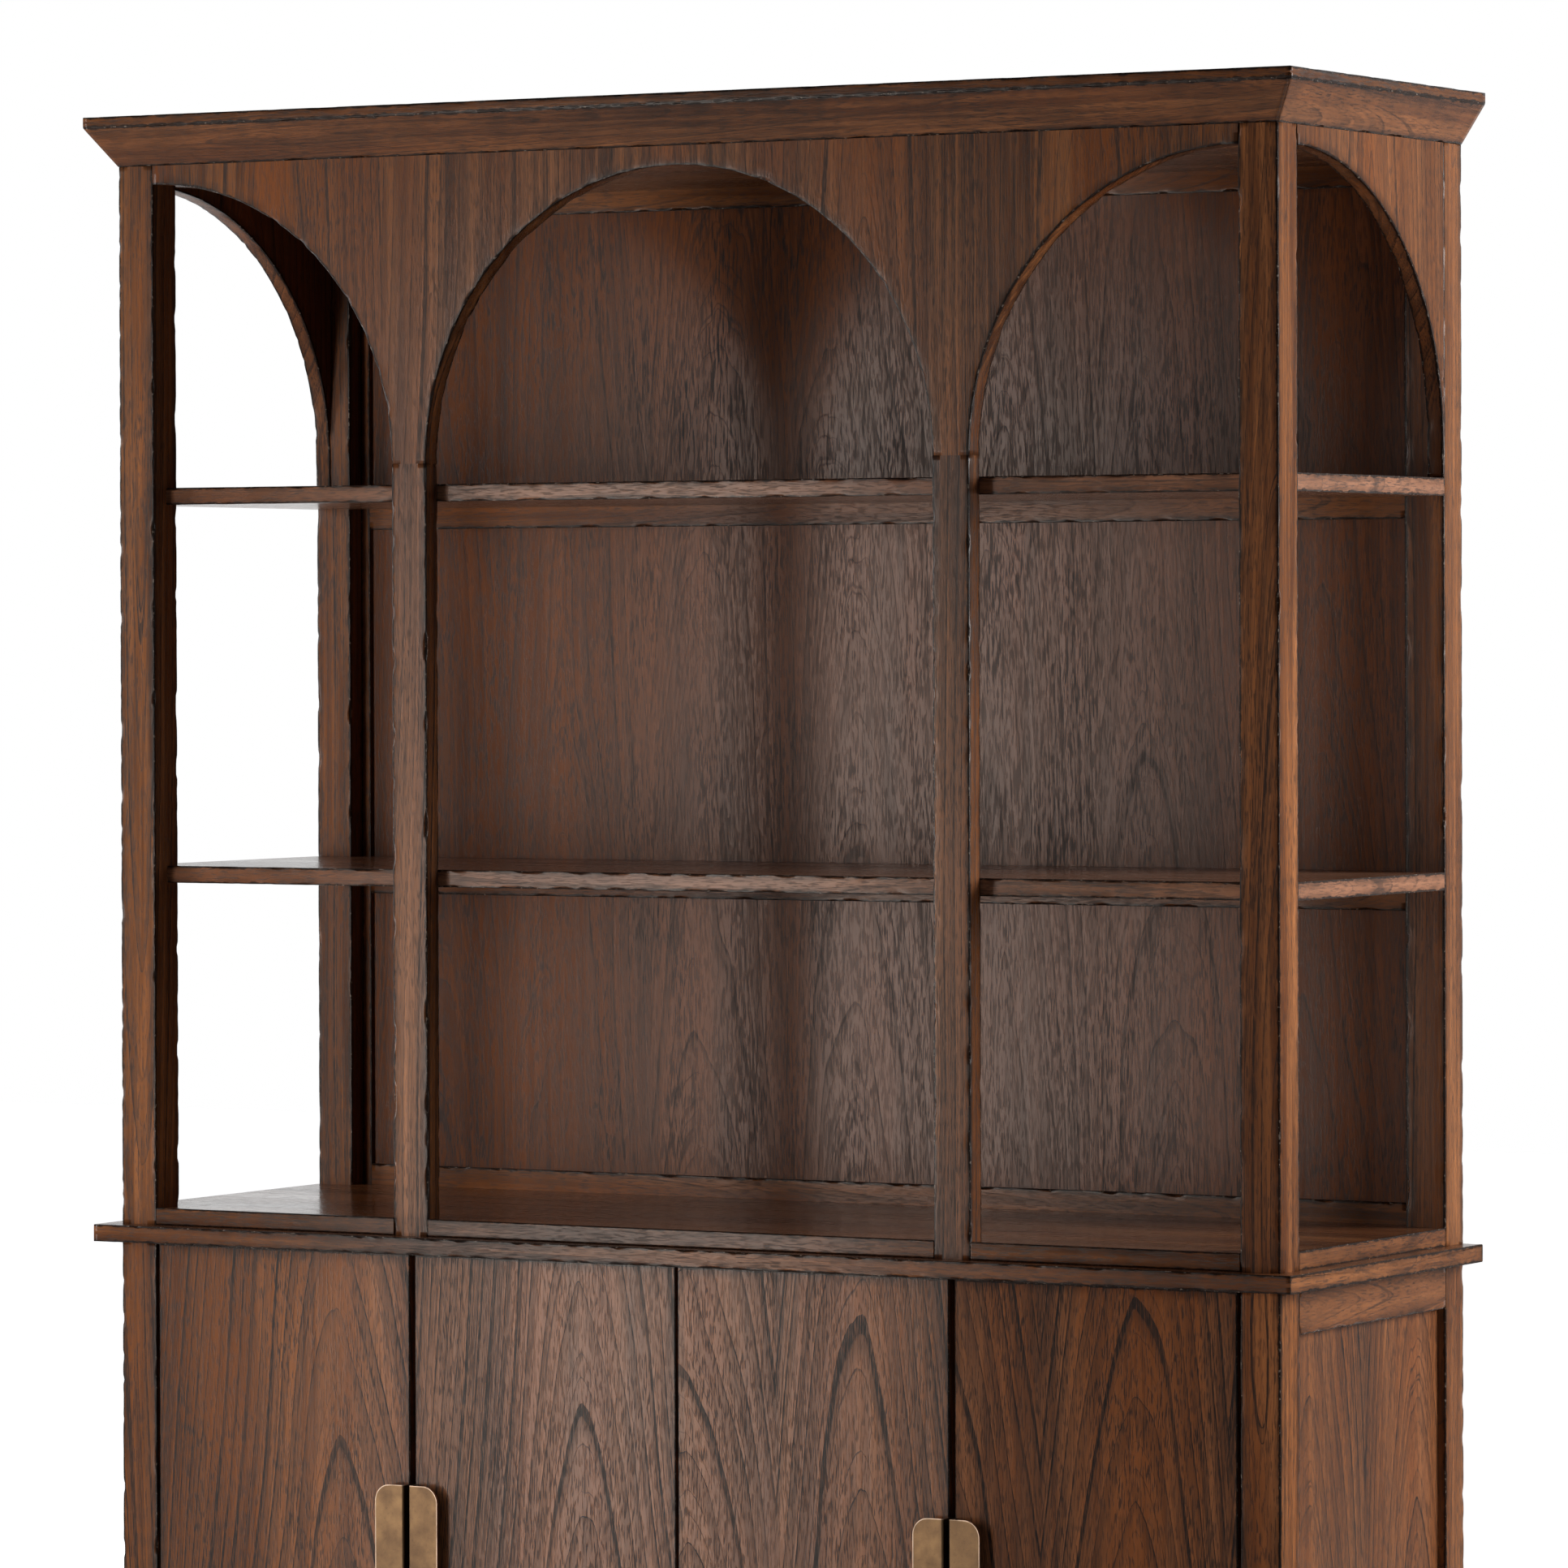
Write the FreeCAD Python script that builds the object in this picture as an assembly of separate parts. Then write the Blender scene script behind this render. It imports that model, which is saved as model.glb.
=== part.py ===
import FreeCAD, Part
import math
import os

# Hutch cabinet: an open hutch with three arched bays on a four-door cupboard.
# Millimetres, +Z up, front towards -Y, origin on the floor under the middle of the whole outline.

# Square stock and boards
post = 50.0
board = 21.0
rail_thickness = 24.0
edge_ease = 1.2
groove_depth = 8.0
panel_thickness = 8.0
panel_setback = 10.0
tenon_length = 20.0
tenon_shoulder = 8.0
tenon_thickness = 8.0

# Hutch front: a half-round arch between two mullions, and a quarter arch beside each corner post
mullion_width = 48.0
mullion_depth = 27.0
arch_radius = 345.0
arch_crown = 23.0
side_arch_lift = 20.0
side_arch_toe = 2.0

# Depth and heights
body_depth = 488.0
base_height = 914.0
hutch_height = 1292.0
upper_shelf_drop = 24.0
lower_shelf_top = 438.0
leg_clearance = 100.0

# Cornice and top board overhangs
cornice_overhang = 31.0
cornice_slope_height = 47.0
cornice_fascia_height = 13.0
cornice_seat = 20.0
base_top_overhang = 25.0

# Back frame of the hutch
back_rail_height = 47.0
back_stile_width = 13.0

# Rails of the base
side_top_rail_height = 52.0
bottom_rail_height = 50.0
stop_rail_height = 35.0
stop_rail_thickness = 20.0

# Doors: set in flush with the posts, with their gaps
door_thickness = 20.0
post_gap = 4.0
pull_gap = 7.5
centre_gap = 3.0
door_top_gap = 2.0
door_bottom_gap = 2.0
stop_gap = 7.0

# Knife hinges, one at the top and one at the foot of each door
pivot_inset = 14.0
pivot_setback = 6.0
leaf_length = 40.0
leaf_width = 9.0
leaf_thickness = 2.5
pin_radius = 2.0
pin_clearance = 0.05
pin_reach = 2.0
collar_radius = 3.5
collar_clearance = 0.2

# Edge pulls of folded brass
pull_width = 40.0
pull_length = 190.0
pull_standoff = 15.0
pull_sheet = 3.0
pull_corner_radius = 12.0
pull_bend_radius = 1.5
pull_return_depth = 33.0

# Inner fittings
shelf_play = 1.0
shelf_setback = 34.0
shelf_pin_radius = 3.0
shelf_pin_length = 16.0
shelf_pin_inset = 42.0
catch_radius = 5.0
catch_housing = 8.0
catch_inset = 25.0
catch_clearance = 0.3
dowel_radius = 5.0
dowel_length = 40.0
dowel_seat = 14.0
fitting_clearance = 0.1

# Places that follow from those sizes
body_width = 2 * (post + mullion_width + 2 * arch_radius)
x_out = body_width / 2
x_in = x_out - post
y_front = -(body_depth - cornice_overhang) / 2
y_back = y_front + body_depth
y_back_frame = y_back - rail_thickness
z_counter = base_height
z_under_counter = base_height - board
z_floor_board = leg_clearance + bottom_rail_height
z_cornice = z_counter + hutch_height
z_ceiling = z_cornice - board
z_crown = z_cornice - arch_crown
z_spring = z_crown - arch_radius
z_side_spring = z_spring + side_arch_lift
z_upper_shelf = z_spring - upper_shelf_drop
z_lower_shelf = z_counter + lower_shelf_top
door_width = (2 * x_in - 2 * post_gap - 2 * pull_gap - centre_gap) / 4
door_bottom = z_floor_board + door_bottom_gap
door_top = z_under_counter - door_top_gap
y_door_back = y_front + door_thickness
y_stop = y_door_back + stop_gap
y_pivot = y_front + pivot_setback
z_base_shelf = (z_floor_board + z_under_counter) / 2

V = FreeCAD.Vector
X = V(1, 0, 0)
Y = V(0, 1, 0)
Z = V(0, 0, 1)


def box(x0, x1, y0, y1, z0, z1):
    """A block between two corners, given in any order."""
    low = V(min(x0, x1), min(y0, y1), min(z0, z1))
    return Part.makeBox(abs(x1 - x0), abs(y1 - y0), abs(z1 - z0), low)


def eased(shape, axis):
    """The shape with a small chamfer along its straight edges that run parallel to axis."""
    chosen = []
    for edge in shape.Edges:
        run = edge.Vertexes[-1].Point - edge.Vertexes[0].Point
        if run.Length > 0 and abs(run.normalize().dot(axis)) > math.cos(math.radians(1)):
            chosen.append(edge)
    return shape.makeChamfer(edge_ease, chosen)


def housed(host, guests):
    """The host with a mortise, groove or notch wherever a guest enters it."""
    for guest in guests:
        if host.BoundBox.intersect(guest.BoundBox):
            host = host.cut(guest)
    return host


def pin(radius, length, start, axis):
    """A round pin from its start point along axis."""
    return Part.makeCylinder(radius, length, start, axis)


def prism(points, depth):
    """A closed polygon pushed along depth."""
    return Part.Face(Part.makePolygon(points + points[:1])).extrude(depth)


def rail_along_x(half, y0, y1, z0, z1):
    """A rail between two posts, with a tenon on each end."""
    middle = (y0 + y1) / 2
    body = eased(box(-half, half, y0, y1, z0, z1), X)
    tenon = box(-half - tenon_length, half + tenon_length,
                middle - tenon_thickness / 2, middle + tenon_thickness / 2,
                z0 + tenon_shoulder, z1 - tenon_shoulder)
    return body.fuse(tenon).removeSplitter()


def rail_along_y(x0, x1, z0, z1):
    """A side rail between a front post and a back post, with a tenon on each end."""
    middle = (x0 + x1) / 2
    body = eased(box(x0, x1, y_front + post, y_back - post, z0, z1), Y)
    tenon = box(middle - tenon_thickness / 2, middle + tenon_thickness / 2,
                y_front + post - tenon_length, y_back - post + tenon_length,
                z0 + tenon_shoulder, z1 - tenon_shoulder)
    return body.fuse(tenon).removeSplitter()


def corner_posts(z0, z1):
    """Four square posts at the corners of the body, by name."""
    posts = {}
    for side, sign in (("left", -1), ("right", 1)):
        posts["front_" + side] = eased(box(sign * x_in, sign * x_out, y_front, y_front + post, z0, z1), Z)
        posts["back_" + side] = eased(box(sign * x_in, sign * x_out, y_back - post, y_back, z0, z1), Z)
    return posts


def post_blocks(z0, z1, play):
    """Plain blocks of the posts' outline, grown by play, that notch boards round the posts."""
    blocks = []
    for sign in (-1, 1):
        inner = sign * (x_in - play)
        blocks.append(box(inner, sign * (x_out + play), y_front - play, y_front + post + play, z0, z1))
        blocks.append(box(inner, sign * (x_out + play), y_back - post - play, y_back + play, z0, z1))
    return blocks


def dowels():
    """Loose dowels: four stand the hutch on the counter, two join the mullions to the frieze."""
    places = []
    for sign in (-1, 1):
        x_post = sign * (x_out - post / 2)
        x_mullion = sign * (arch_radius + mullion_width / 2)
        places.append(V(x_post, y_front + post / 2, z_counter - dowel_seat))
        places.append(V(x_post, y_back - post / 2, z_counter - dowel_seat))
        places.append(V(x_mullion, y_front + mullion_depth / 2, z_spring - dowel_length / 2))
    wood = [pin(dowel_radius, dowel_length, place, Z) for place in places]
    holes = [pin(dowel_radius + fitting_clearance, dowel_length, place, Z) for place in places]
    return wood, holes


def front_frieze():
    """One board cut out below by a half circle and two quarter circles that spring from the mullions."""
    low = arch_radius * math.sqrt(0.5)
    outer_foot = arch_radius + mullion_width

    def at(x, z):
        return V(x, y_front, z)

    def quarter(sign):
        start = at(sign * x_in, z_crown)
        middle = at(sign * (x_in - low), z_spring + low)
        return Part.Arc(start, middle, at(sign * outer_foot, z_spring)).toShape()

    half_round = Part.Arc(at(-arch_radius, z_spring), at(0, z_crown), at(arch_radius, z_spring)).toShape()
    edges = [Part.makeLine(at(-x_in, z_cornice), at(x_in, z_cornice)),
             Part.makeLine(at(x_in, z_cornice), at(x_in, z_crown)),
             quarter(1),
             Part.makeLine(at(outer_foot, z_spring), at(arch_radius, z_spring)),
             half_round,
             Part.makeLine(at(-arch_radius, z_spring), at(-outer_foot, z_spring)),
             quarter(-1),
             Part.makeLine(at(-x_in, z_crown), at(-x_in, z_cornice))]
    return Part.Face(Part.Wire(Part.__sortEdges__(edges))).extrude(V(0, mullion_depth, 0))


def side_frieze(sign):
    """A board cut out below by a quarter ellipse, whose upright end runs on as a narrow toe to the shelf."""
    x = sign * x_out
    front = y_front + post
    back = y_back - post
    tip = back - side_arch_toe
    corner_weight = math.sqrt(0.5)
    poles = [V(x, front, z_crown), V(x, tip, z_crown), V(x, tip, z_side_spring)]
    curve = Part.BSplineCurve()
    curve.buildFromPolesMultsKnots(poles, (3, 3), (0, 1), False, 2, (1, corner_weight, 1))
    outline = [poles[2], V(x, tip, z_upper_shelf), V(x, back, z_upper_shelf), V(x, back, z_cornice),
               V(x, front, z_cornice), poles[0]]
    edges = [curve.toShape()] + [Part.makeLine(start, end) for start, end in zip(outline, outline[1:])]
    return Part.Face(Part.Wire(Part.__sortEdges__(edges))).extrude(V(-sign * board, 0, 0))


def cornice_section():
    """The cornice moulding as outward offset and height: seat, splayed slope and upright fascia."""
    slope_top = z_cornice + cornice_slope_height
    top = slope_top + cornice_fascia_height
    return [(-cornice_seat, z_cornice), (0, z_cornice), (cornice_overhang, slope_top),
            (cornice_overhang, top), (-cornice_seat, top)]


def cornice_length(start, end):
    """A moulding lofted between its two end sections."""
    ends = [Part.makePolygon(points + points[:1]) for points in (start, end)]
    return Part.makeLoft(ends, True, True)


def cornice():
    """Front moulding with mitred ends, and two returns that stop flush with the back."""
    section = cornice_section()
    mitre = {sign: [V(sign * (x_out + out), y_front - out, z) for out, z in section] for sign in (-1, 1)}
    pieces = {"cornice_front": cornice_length(mitre[-1], mitre[1])}
    for side, sign in (("left", -1), ("right", 1)):
        tail = [V(sign * (x_out + out), y_back, z) for out, z in section]
        pieces["cornice_" + side] = cornice_length(mitre[sign], tail)
    return pieces


def hutch_back():
    """Frame of two stiles and four rails, with three panels let into their grooves."""
    tops = {"top": z_cornice, "upper": z_upper_shelf, "lower": z_lower_shelf,
            "bottom": z_counter + back_rail_height}
    half = x_in - back_stile_width
    y_panel = y_back - panel_setback
    panels = {}
    names = list(tops)
    for above, below in zip(names, names[1:]):
        panels["hutch_back_panel_" + above] = box(
            -half - groove_depth, half + groove_depth, y_panel - panel_thickness, y_panel,
            tops[below] - groove_depth, tops[above] - back_rail_height + groove_depth)
    pieces = dict(panels)
    for name, top in tops.items():
        rail = eased(box(-half, half, y_back_frame, y_back, top - back_rail_height, top), X)
        pieces["hutch_back_rail_" + name] = housed(rail, panels.values())
    for side, sign in (("left", -1), ("right", 1)):
        stile = box(sign * half, sign * x_in, y_back_frame, y_back, z_counter, z_cornice)
        pieces["hutch_back_stile_" + side] = housed(stile, panels.values())
    return pieces


def hutch(dowel_holes):
    """The open upper part."""
    pieces = cornice()
    pieces.update(hutch_back())
    for name, shape in corner_posts(z_counter, z_cornice).items():
        pieces["hutch_post_" + name] = housed(shape, dowel_holes)
    blocks = post_blocks(z_counter, z_cornice, 0)
    mullions = []
    for side, sign in (("left", -1), ("right", 1)):
        mullion = box(sign * arch_radius, sign * (arch_radius + mullion_width),
                      y_front, y_front + mullion_depth, z_counter, z_spring)
        mullions.append(mullion)
        pieces["mullion_" + side] = housed(eased(mullion, Z), dowel_holes)
        pieces["side_frieze_" + side] = side_frieze(sign)
    pieces["front_frieze"] = housed(front_frieze(), dowel_holes)
    y_shelf = y_front + mullion_depth
    for name, top in (("upper", z_upper_shelf), ("lower", z_lower_shelf)):
        shelf = eased(box(-x_out, x_out, y_shelf, y_back_frame, top - board, top), X)
        pieces["hutch_shelf_" + name] = housed(shelf, blocks)
    floor = eased(box(-x_out, x_out, y_front, y_back_frame, z_counter, z_counter + board), X)
    pieces["hutch_bottom_board"] = housed(floor, blocks + mullions)
    x_ceiling = x_out - board
    ceiling = box(-x_ceiling, x_ceiling, y_shelf, y_back_frame, z_ceiling, z_cornice)
    pieces["hutch_top_board"] = housed(ceiling, blocks)
    return pieces


def base_panels():
    """Side panels and the back panel, each let into grooves all round."""
    low = z_floor_board - groove_depth
    side_top = z_under_counter - side_top_rail_height + groove_depth
    panels = {}
    for side, sign in (("left", -1), ("right", 1)):
        outer = x_out - panel_setback
        panels["side_panel_" + side] = box(
            sign * (outer - panel_thickness), sign * outer,
            y_front + post - groove_depth, y_back - post + groove_depth, low, side_top)
    y_panel = y_back - panel_setback
    panels["base_back_panel"] = box(-x_in - groove_depth, x_in + groove_depth,
                                    y_panel - panel_thickness, y_panel, low, z_under_counter + groove_depth)
    return panels


def base_rails():
    """Rails tenoned between the base posts; the stop rail stands behind the doors."""
    rails = {"front_bottom_rail": rail_along_x(x_in, y_front, y_front + rail_thickness,
                                               leg_clearance, z_floor_board),
             "base_back_rail": rail_along_x(x_in, y_back_frame, y_back, leg_clearance, z_floor_board),
             "door_stop_rail": rail_along_x(x_in, y_stop, y_stop + stop_rail_thickness,
                                            z_under_counter - stop_rail_height, z_under_counter)}
    for side, sign in (("left", -1), ("right", 1)):
        inner = sign * (x_out - rail_thickness)
        rails["side_bottom_rail_" + side] = rail_along_y(inner, sign * x_out, leg_clearance, z_floor_board)
        rails["side_top_rail_" + side] = rail_along_y(
            inner, sign * x_out, z_under_counter - side_top_rail_height, z_under_counter)
    return rails


def base_bottom_board():
    """The cupboard floor, let into the bottom rails and notched round the posts."""
    reach = panel_setback + panel_thickness
    slab = box(-x_out + reach, x_out - reach, y_front + reach, y_back - reach,
               z_floor_board - board, z_floor_board)
    return housed(slab, post_blocks(leg_clearance, z_floor_board, 0))


def shelf_pins():
    """Four shelf pins for each loose shelf, in the posts and in the partition, and their holes."""
    z = z_base_shelf - board - shelf_pin_radius
    half = shelf_pin_length / 2
    pins = []
    holes = []
    for sign in (-1, 1):
        for x in (sign * x_in, sign * board / 2):
            for y in (y_front + shelf_pin_inset, y_back - shelf_pin_inset):
                start = V(x - half, y, z)
                pins.append(pin(shelf_pin_radius, shelf_pin_length, start, X))
                holes.append(pin(shelf_pin_radius + fitting_clearance, shelf_pin_length, start, X))
    return pins, holes


def base_shelf(sign):
    """A loose shelf, notched round the posts, between a side and the partition."""
    outer = sign * (x_out - rail_thickness - shelf_play)
    inner = sign * (board / 2 + shelf_play)
    back = y_back - panel_setback - panel_thickness - shelf_play
    slab = box(inner, outer, y_front + shelf_setback, back, z_base_shelf - board, z_base_shelf)
    slab = eased(slab, X)
    return housed(slab, post_blocks(z_base_shelf - board, z_base_shelf, shelf_play))


def centre_partition():
    """The upright behind the two inner doors, notched at its top front corner for the stop rail."""
    y_rail = y_stop + stop_rail_thickness
    y_end = y_back - panel_setback - panel_thickness
    z_rail = z_under_counter - stop_rail_height
    outline = [V(-board / 2, y, z) for y, z in ((y_stop, z_floor_board), (y_end, z_floor_board),
                                                (y_end, z_under_counter), (y_rail, z_under_counter),
                                                (y_rail, z_rail), (y_stop, z_rail))]
    return prism(outline, V(board, 0, 0))


def doors():
    """Each door's hinge edge, free edge and the sign of X from the hinge to the free edge."""
    layout = {}
    for side, sign in (("left", -1), ("right", 1)):
        post_edge = sign * (x_in - post_gap)
        centre_edge = sign * centre_gap / 2
        layout[side + "_outer"] = (post_edge, post_edge - sign * door_width, -sign)
        layout[side + "_inner"] = (centre_edge, centre_edge + sign * door_width, sign)
    return layout


def leaf(x, way, z):
    """A hinge leaf: a flat strip, round at its pivot end, from height z up by its thickness."""
    nose = pin(leaf_width / 2, leaf_thickness, V(x, y_pivot, z), Z)
    strip = box(x, x + way * leaf_length, y_pivot - leaf_width / 2, y_pivot + leaf_width / 2,
                z, z + leaf_thickness)
    return nose.fuse(strip).removeSplitter()


def hinge_pair(hinge_edge, way):
    """Both hinges of a door: fixed leaves with their pins, door leaves, and the holes for the pins."""
    x = hinge_edge + way * pivot_inset
    bore_radius = pin_radius + pin_clearance
    levels = ((z_under_counter, door_top, -1), (z_floor_board, door_bottom, 1))
    fixed = []
    moving = []
    pockets = []
    for carcass, edge, inward in levels:
        gap = abs(edge - carcass)
        collar_height = gap - collar_clearance
        reach = gap + leaf_thickness + pin_reach
        axis = V(0, 0, inward)
        plate = leaf(x, way, min(carcass, carcass - inward * leaf_thickness))
        start = V(x, y_pivot, carcass - inward * leaf_thickness)
        stem = pin(pin_radius, leaf_thickness + reach, start, axis)
        collar = pin(collar_radius, leaf_thickness + collar_height, start, axis)
        fixed.append(plate.fuse(collar).fuse(stem).removeSplitter())
        door_leaf = leaf(x, way, min(edge, edge + inward * leaf_thickness))
        bore = pin(bore_radius, leaf_thickness + gap, V(x, y_pivot, edge), axis)
        moving.append(door_leaf.cut(bore))
        pockets.append(door_leaf)
        pockets.append(pin(collar_radius, leaf_thickness + 2 * pin_reach, V(x, y_pivot, edge), axis))
    return fixed, moving, pockets


def pull(free_edge, way):
    """A brass edge pull: a tab that stands off the door's face, and a return let into the door's edge."""
    z0 = (door_bottom + door_top - pull_length) / 2
    z1 = z0 + pull_length
    y_tab = y_front - pull_standoff
    outer = free_edge - way * pull_width
    tab = box(outer, free_edge, y_tab, y_tab + pull_sheet, z0, z1)
    corners = [edge for edge in tab.Edges
               if abs(edge.CenterOfMass.x - outer) < edge_ease and edge.BoundBox.YLength > pull_sheet / 2
               and edge.BoundBox.ZLength < pull_sheet]
    tab = tab.makeFillet(pull_corner_radius, corners)
    web = box(free_edge - way * pull_sheet, free_edge, y_tab, y_tab + pull_return_depth, z0, z1)
    folded = tab.fuse(web).removeSplitter()
    fold = [edge for edge in folded.Edges
            if edge.BoundBox.ZLength > pull_length / 2 and abs(edge.CenterOfMass.x - free_edge) < pull_sheet / 2
            and abs(edge.CenterOfMass.y - y_tab) < pull_sheet / 2]
    return folded.makeFillet(pull_bend_radius, fold)


def catches():
    """Magnet buttons in the stop rail, one behind the free edge of each door, and their holes."""
    length = stop_gap - catch_clearance + catch_housing
    z = z_under_counter - stop_rail_height / 2
    buttons = []
    holes = []
    for hinge_edge, free_edge, way in doors().values():
        start = V(free_edge - way * catch_inset, y_door_back + catch_clearance, z)
        buttons.append(pin(catch_radius, length, start, Y))
        holes.append(pin(catch_radius + fitting_clearance, length, start, Y))
    return buttons, holes


def door_set():
    """The four doors with their pulls and door leaves, and the leaves that stay on the carcass."""
    pieces = {}
    carcass_leaves = []
    for name, (hinge_edge, free_edge, way) in doors().items():
        fixed, moving, pockets = hinge_pair(hinge_edge, way)
        handle = pull(free_edge, way)
        slab = eased(box(hinge_edge, free_edge, y_front, y_door_back, door_bottom, door_top), Z)
        pieces[name + "_door"] = housed(slab, pockets + [handle])
        pieces[name + "_pull"] = handle
        pieces[name + "_hinge_leaves"] = Part.Compound(moving)
        carcass_leaves.extend(fixed)
    return pieces, carcass_leaves


def base(dowel_holes, carcass_leaves):
    """The lower cupboard without its doors."""
    panels = base_panels()
    rails = base_rails()
    floor = base_bottom_board()
    pins, pin_holes = shelf_pins()
    buttons, button_holes = catches()
    pieces = dict(panels)
    for name, rail in rails.items():
        pieces[name] = housed(rail, list(panels.values()) + [floor] + carcass_leaves + button_holes)
    for name, shape in corner_posts(0, z_under_counter).items():
        guests = list(rails.values()) + list(panels.values()) + pin_holes
        pieces["base_post_" + name] = housed(shape, guests)
    over = base_top_overhang
    counter = box(-x_out - over, x_out + over, y_front - over, y_back, z_under_counter, z_counter)
    counter = eased(counter, X)
    pieces["base_top_board"] = housed(counter, [panels["base_back_panel"]] + dowel_holes + carcass_leaves)
    pieces["base_bottom_board"] = floor
    pieces["centre_partition"] = housed(centre_partition(), pin_holes)
    for side, sign in (("left", -1), ("right", 1)):
        pieces["base_shelf_" + side] = base_shelf(sign)
    pieces["shelf_pins"] = Part.Compound(pins)
    pieces["door_catches"] = Part.Compound(buttons)
    pieces["hinge_carcass_leaves"] = Part.Compound(carcass_leaves)
    return pieces


def cabinet():
    """Every piece of the cabinet by node name."""
    wood, holes = dowels()
    pieces, carcass_leaves = door_set()
    pieces.update(base(holes, carcass_leaves))
    pieces.update(hutch(holes))
    pieces["locating_dowels"] = Part.Compound(wood)
    return pieces


os.makedirs("parts", exist_ok=True)
made = cabinet()
for node, shape in made.items():
    shape.exportStep("parts/" + node + ".step")
print(len(made), "pieces, body", body_width, "wide, doors", door_width, "wide")
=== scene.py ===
# %% [markdown]
# A hutch cabinet: open arched shelves on a cupboard with four flat doors.
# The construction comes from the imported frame. This lesson dresses it: the main sticks get
# hand-rubbed, uneven edges as new meshes, and every surface gets a procedural finish.

# %% Load the frame and keep its box
import math
import bpy
import numpy as np
from mathutils import Matrix, Vector


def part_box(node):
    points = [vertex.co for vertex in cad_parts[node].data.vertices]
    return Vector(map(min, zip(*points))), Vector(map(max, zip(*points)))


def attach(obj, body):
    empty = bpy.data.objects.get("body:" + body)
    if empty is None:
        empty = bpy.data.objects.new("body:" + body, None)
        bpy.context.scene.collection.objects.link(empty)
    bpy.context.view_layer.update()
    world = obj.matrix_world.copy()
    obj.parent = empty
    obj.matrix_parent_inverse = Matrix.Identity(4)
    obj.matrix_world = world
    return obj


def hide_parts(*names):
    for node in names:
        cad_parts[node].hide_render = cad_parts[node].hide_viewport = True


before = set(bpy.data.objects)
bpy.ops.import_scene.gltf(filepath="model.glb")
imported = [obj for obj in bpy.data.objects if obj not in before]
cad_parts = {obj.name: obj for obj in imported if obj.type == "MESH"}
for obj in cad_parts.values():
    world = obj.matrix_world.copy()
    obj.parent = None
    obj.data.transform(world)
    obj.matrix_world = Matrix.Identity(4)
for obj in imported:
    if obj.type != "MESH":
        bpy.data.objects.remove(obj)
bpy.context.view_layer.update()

# %% [markdown]
# The camera stands far off to the right of the front, with a long lens, so upright lines stay
# nearly parallel. Its place was solved from edges measured in the photograph, in its
# 1932 pixel frame: focal length and principal point are in those pixels.

# %% Camera
IMAGE = 1932.0
FOCAL = 9498.3
CENTRE_ROW = 876.2
SENSOR = 36.0
YAW, PITCH, ROLL = (math.radians(v) for v in (-29.87, -0.59, -0.16))
CAMERA_PLACE = (4.612, -8.001, 1.636)


def camera_axes():
    """Right, up and forward of a camera turned by yaw about Z, then pitch, then roll."""
    forward = Vector((math.sin(YAW), math.cos(YAW), 0))
    right = Vector((math.cos(YAW), -math.sin(YAW), 0))
    up = Vector((0, 0, 1))
    ahead = forward * math.cos(PITCH) + up * math.sin(PITCH)
    top = up * math.cos(PITCH) - forward * math.sin(PITCH)
    level = right * math.cos(ROLL) + top * math.sin(ROLL)
    return level, top * math.cos(ROLL) - right * math.sin(ROLL), ahead


camera = bpy.data.objects.new("camera", bpy.data.cameras.new("camera"))
bpy.context.scene.collection.objects.link(camera)
right, top, ahead = camera_axes()
turned = Matrix((right, top, -ahead)).transposed().to_4x4()
camera.matrix_world = Matrix.Translation(CAMERA_PLACE) @ turned
camera.data.sensor_width = SENSOR
camera.data.lens = SENSOR * FOCAL / IMAGE
camera.data.shift_y = (CENTRE_ROW - IMAGE / 2) / IMAGE
camera.data.clip_end = 100
bpy.context.scene.camera = camera
print("lens", round(camera.data.lens, 1), "mm")

# %% [markdown]
# Room, floor and finishes are node trees. Short helpers place a node, feed its sockets and do one
# step of arithmetic, so that each recipe further down reads like its formula.

# %% Helpers for node trees


def put(tree, kind, **settings):
    """A new shader node with its settings."""
    node = tree.nodes.new("ShaderNode" + kind)
    for key, value in settings.items():
        setattr(node, key, value)
    return node


def feed(tree, socket, value):
    """Links an output to a socket, or sets a plain value on it."""
    if isinstance(value, bpy.types.NodeSocket):
        tree.links.new(value, socket)
    else:
        socket.default_value = value


def filled(tree, kind, *values, **settings):
    """The outputs of a new node whose first sockets take the values."""
    node = put(tree, kind, **settings)
    for socket, value in zip(node.inputs, values):
        feed(tree, socket, value)
    return node.outputs


def calc(tree, operation, *values):
    """One step of arithmetic."""
    return filled(tree, "Math", *values, operation=operation)[0]


def times(tree, first, second, *added):
    """A product, with a third value added where it is given."""
    return calc(tree, "MULTIPLY_ADD" if added else "MULTIPLY", first, second, *added)


def vector_calc(tree, operation, *values):
    """One step of vector arithmetic, with the outputs Vector and Value."""
    return filled(tree, "VectorMath", *values, operation=operation)


def remap(tree, value, low, high, to_low=0.0, to_high=1.0):
    """A clamped linear change of range."""
    return filled(tree, "MapRange", value, low, high, to_low, to_high)[0]


def noise(tree, vector, across, along, detail, rough=0.5):
    """Noise with stretched cells, counted per metre across (and through) the grain and along it."""
    node = put(tree, "TexNoise")
    cells = vector_calc(tree, "MULTIPLY", vector, (across, across, along))["Vector"]
    feed(tree, node.inputs["Vector"], cells)
    node.inputs["Scale"].default_value = 1
    node.inputs["Detail"].default_value = detail
    node.inputs["Roughness"].default_value = rough
    return node.outputs["Fac"]


def blend_colour(tree, factor, first, second):
    """A mix of two colours."""
    node = put(tree, "Mix", data_type="RGBA")
    feed(tree, node.inputs["Factor"], factor)
    feed(tree, node.inputs["A"], first)
    feed(tree, node.inputs["B"], second)
    return node.outputs["Result"]


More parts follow.
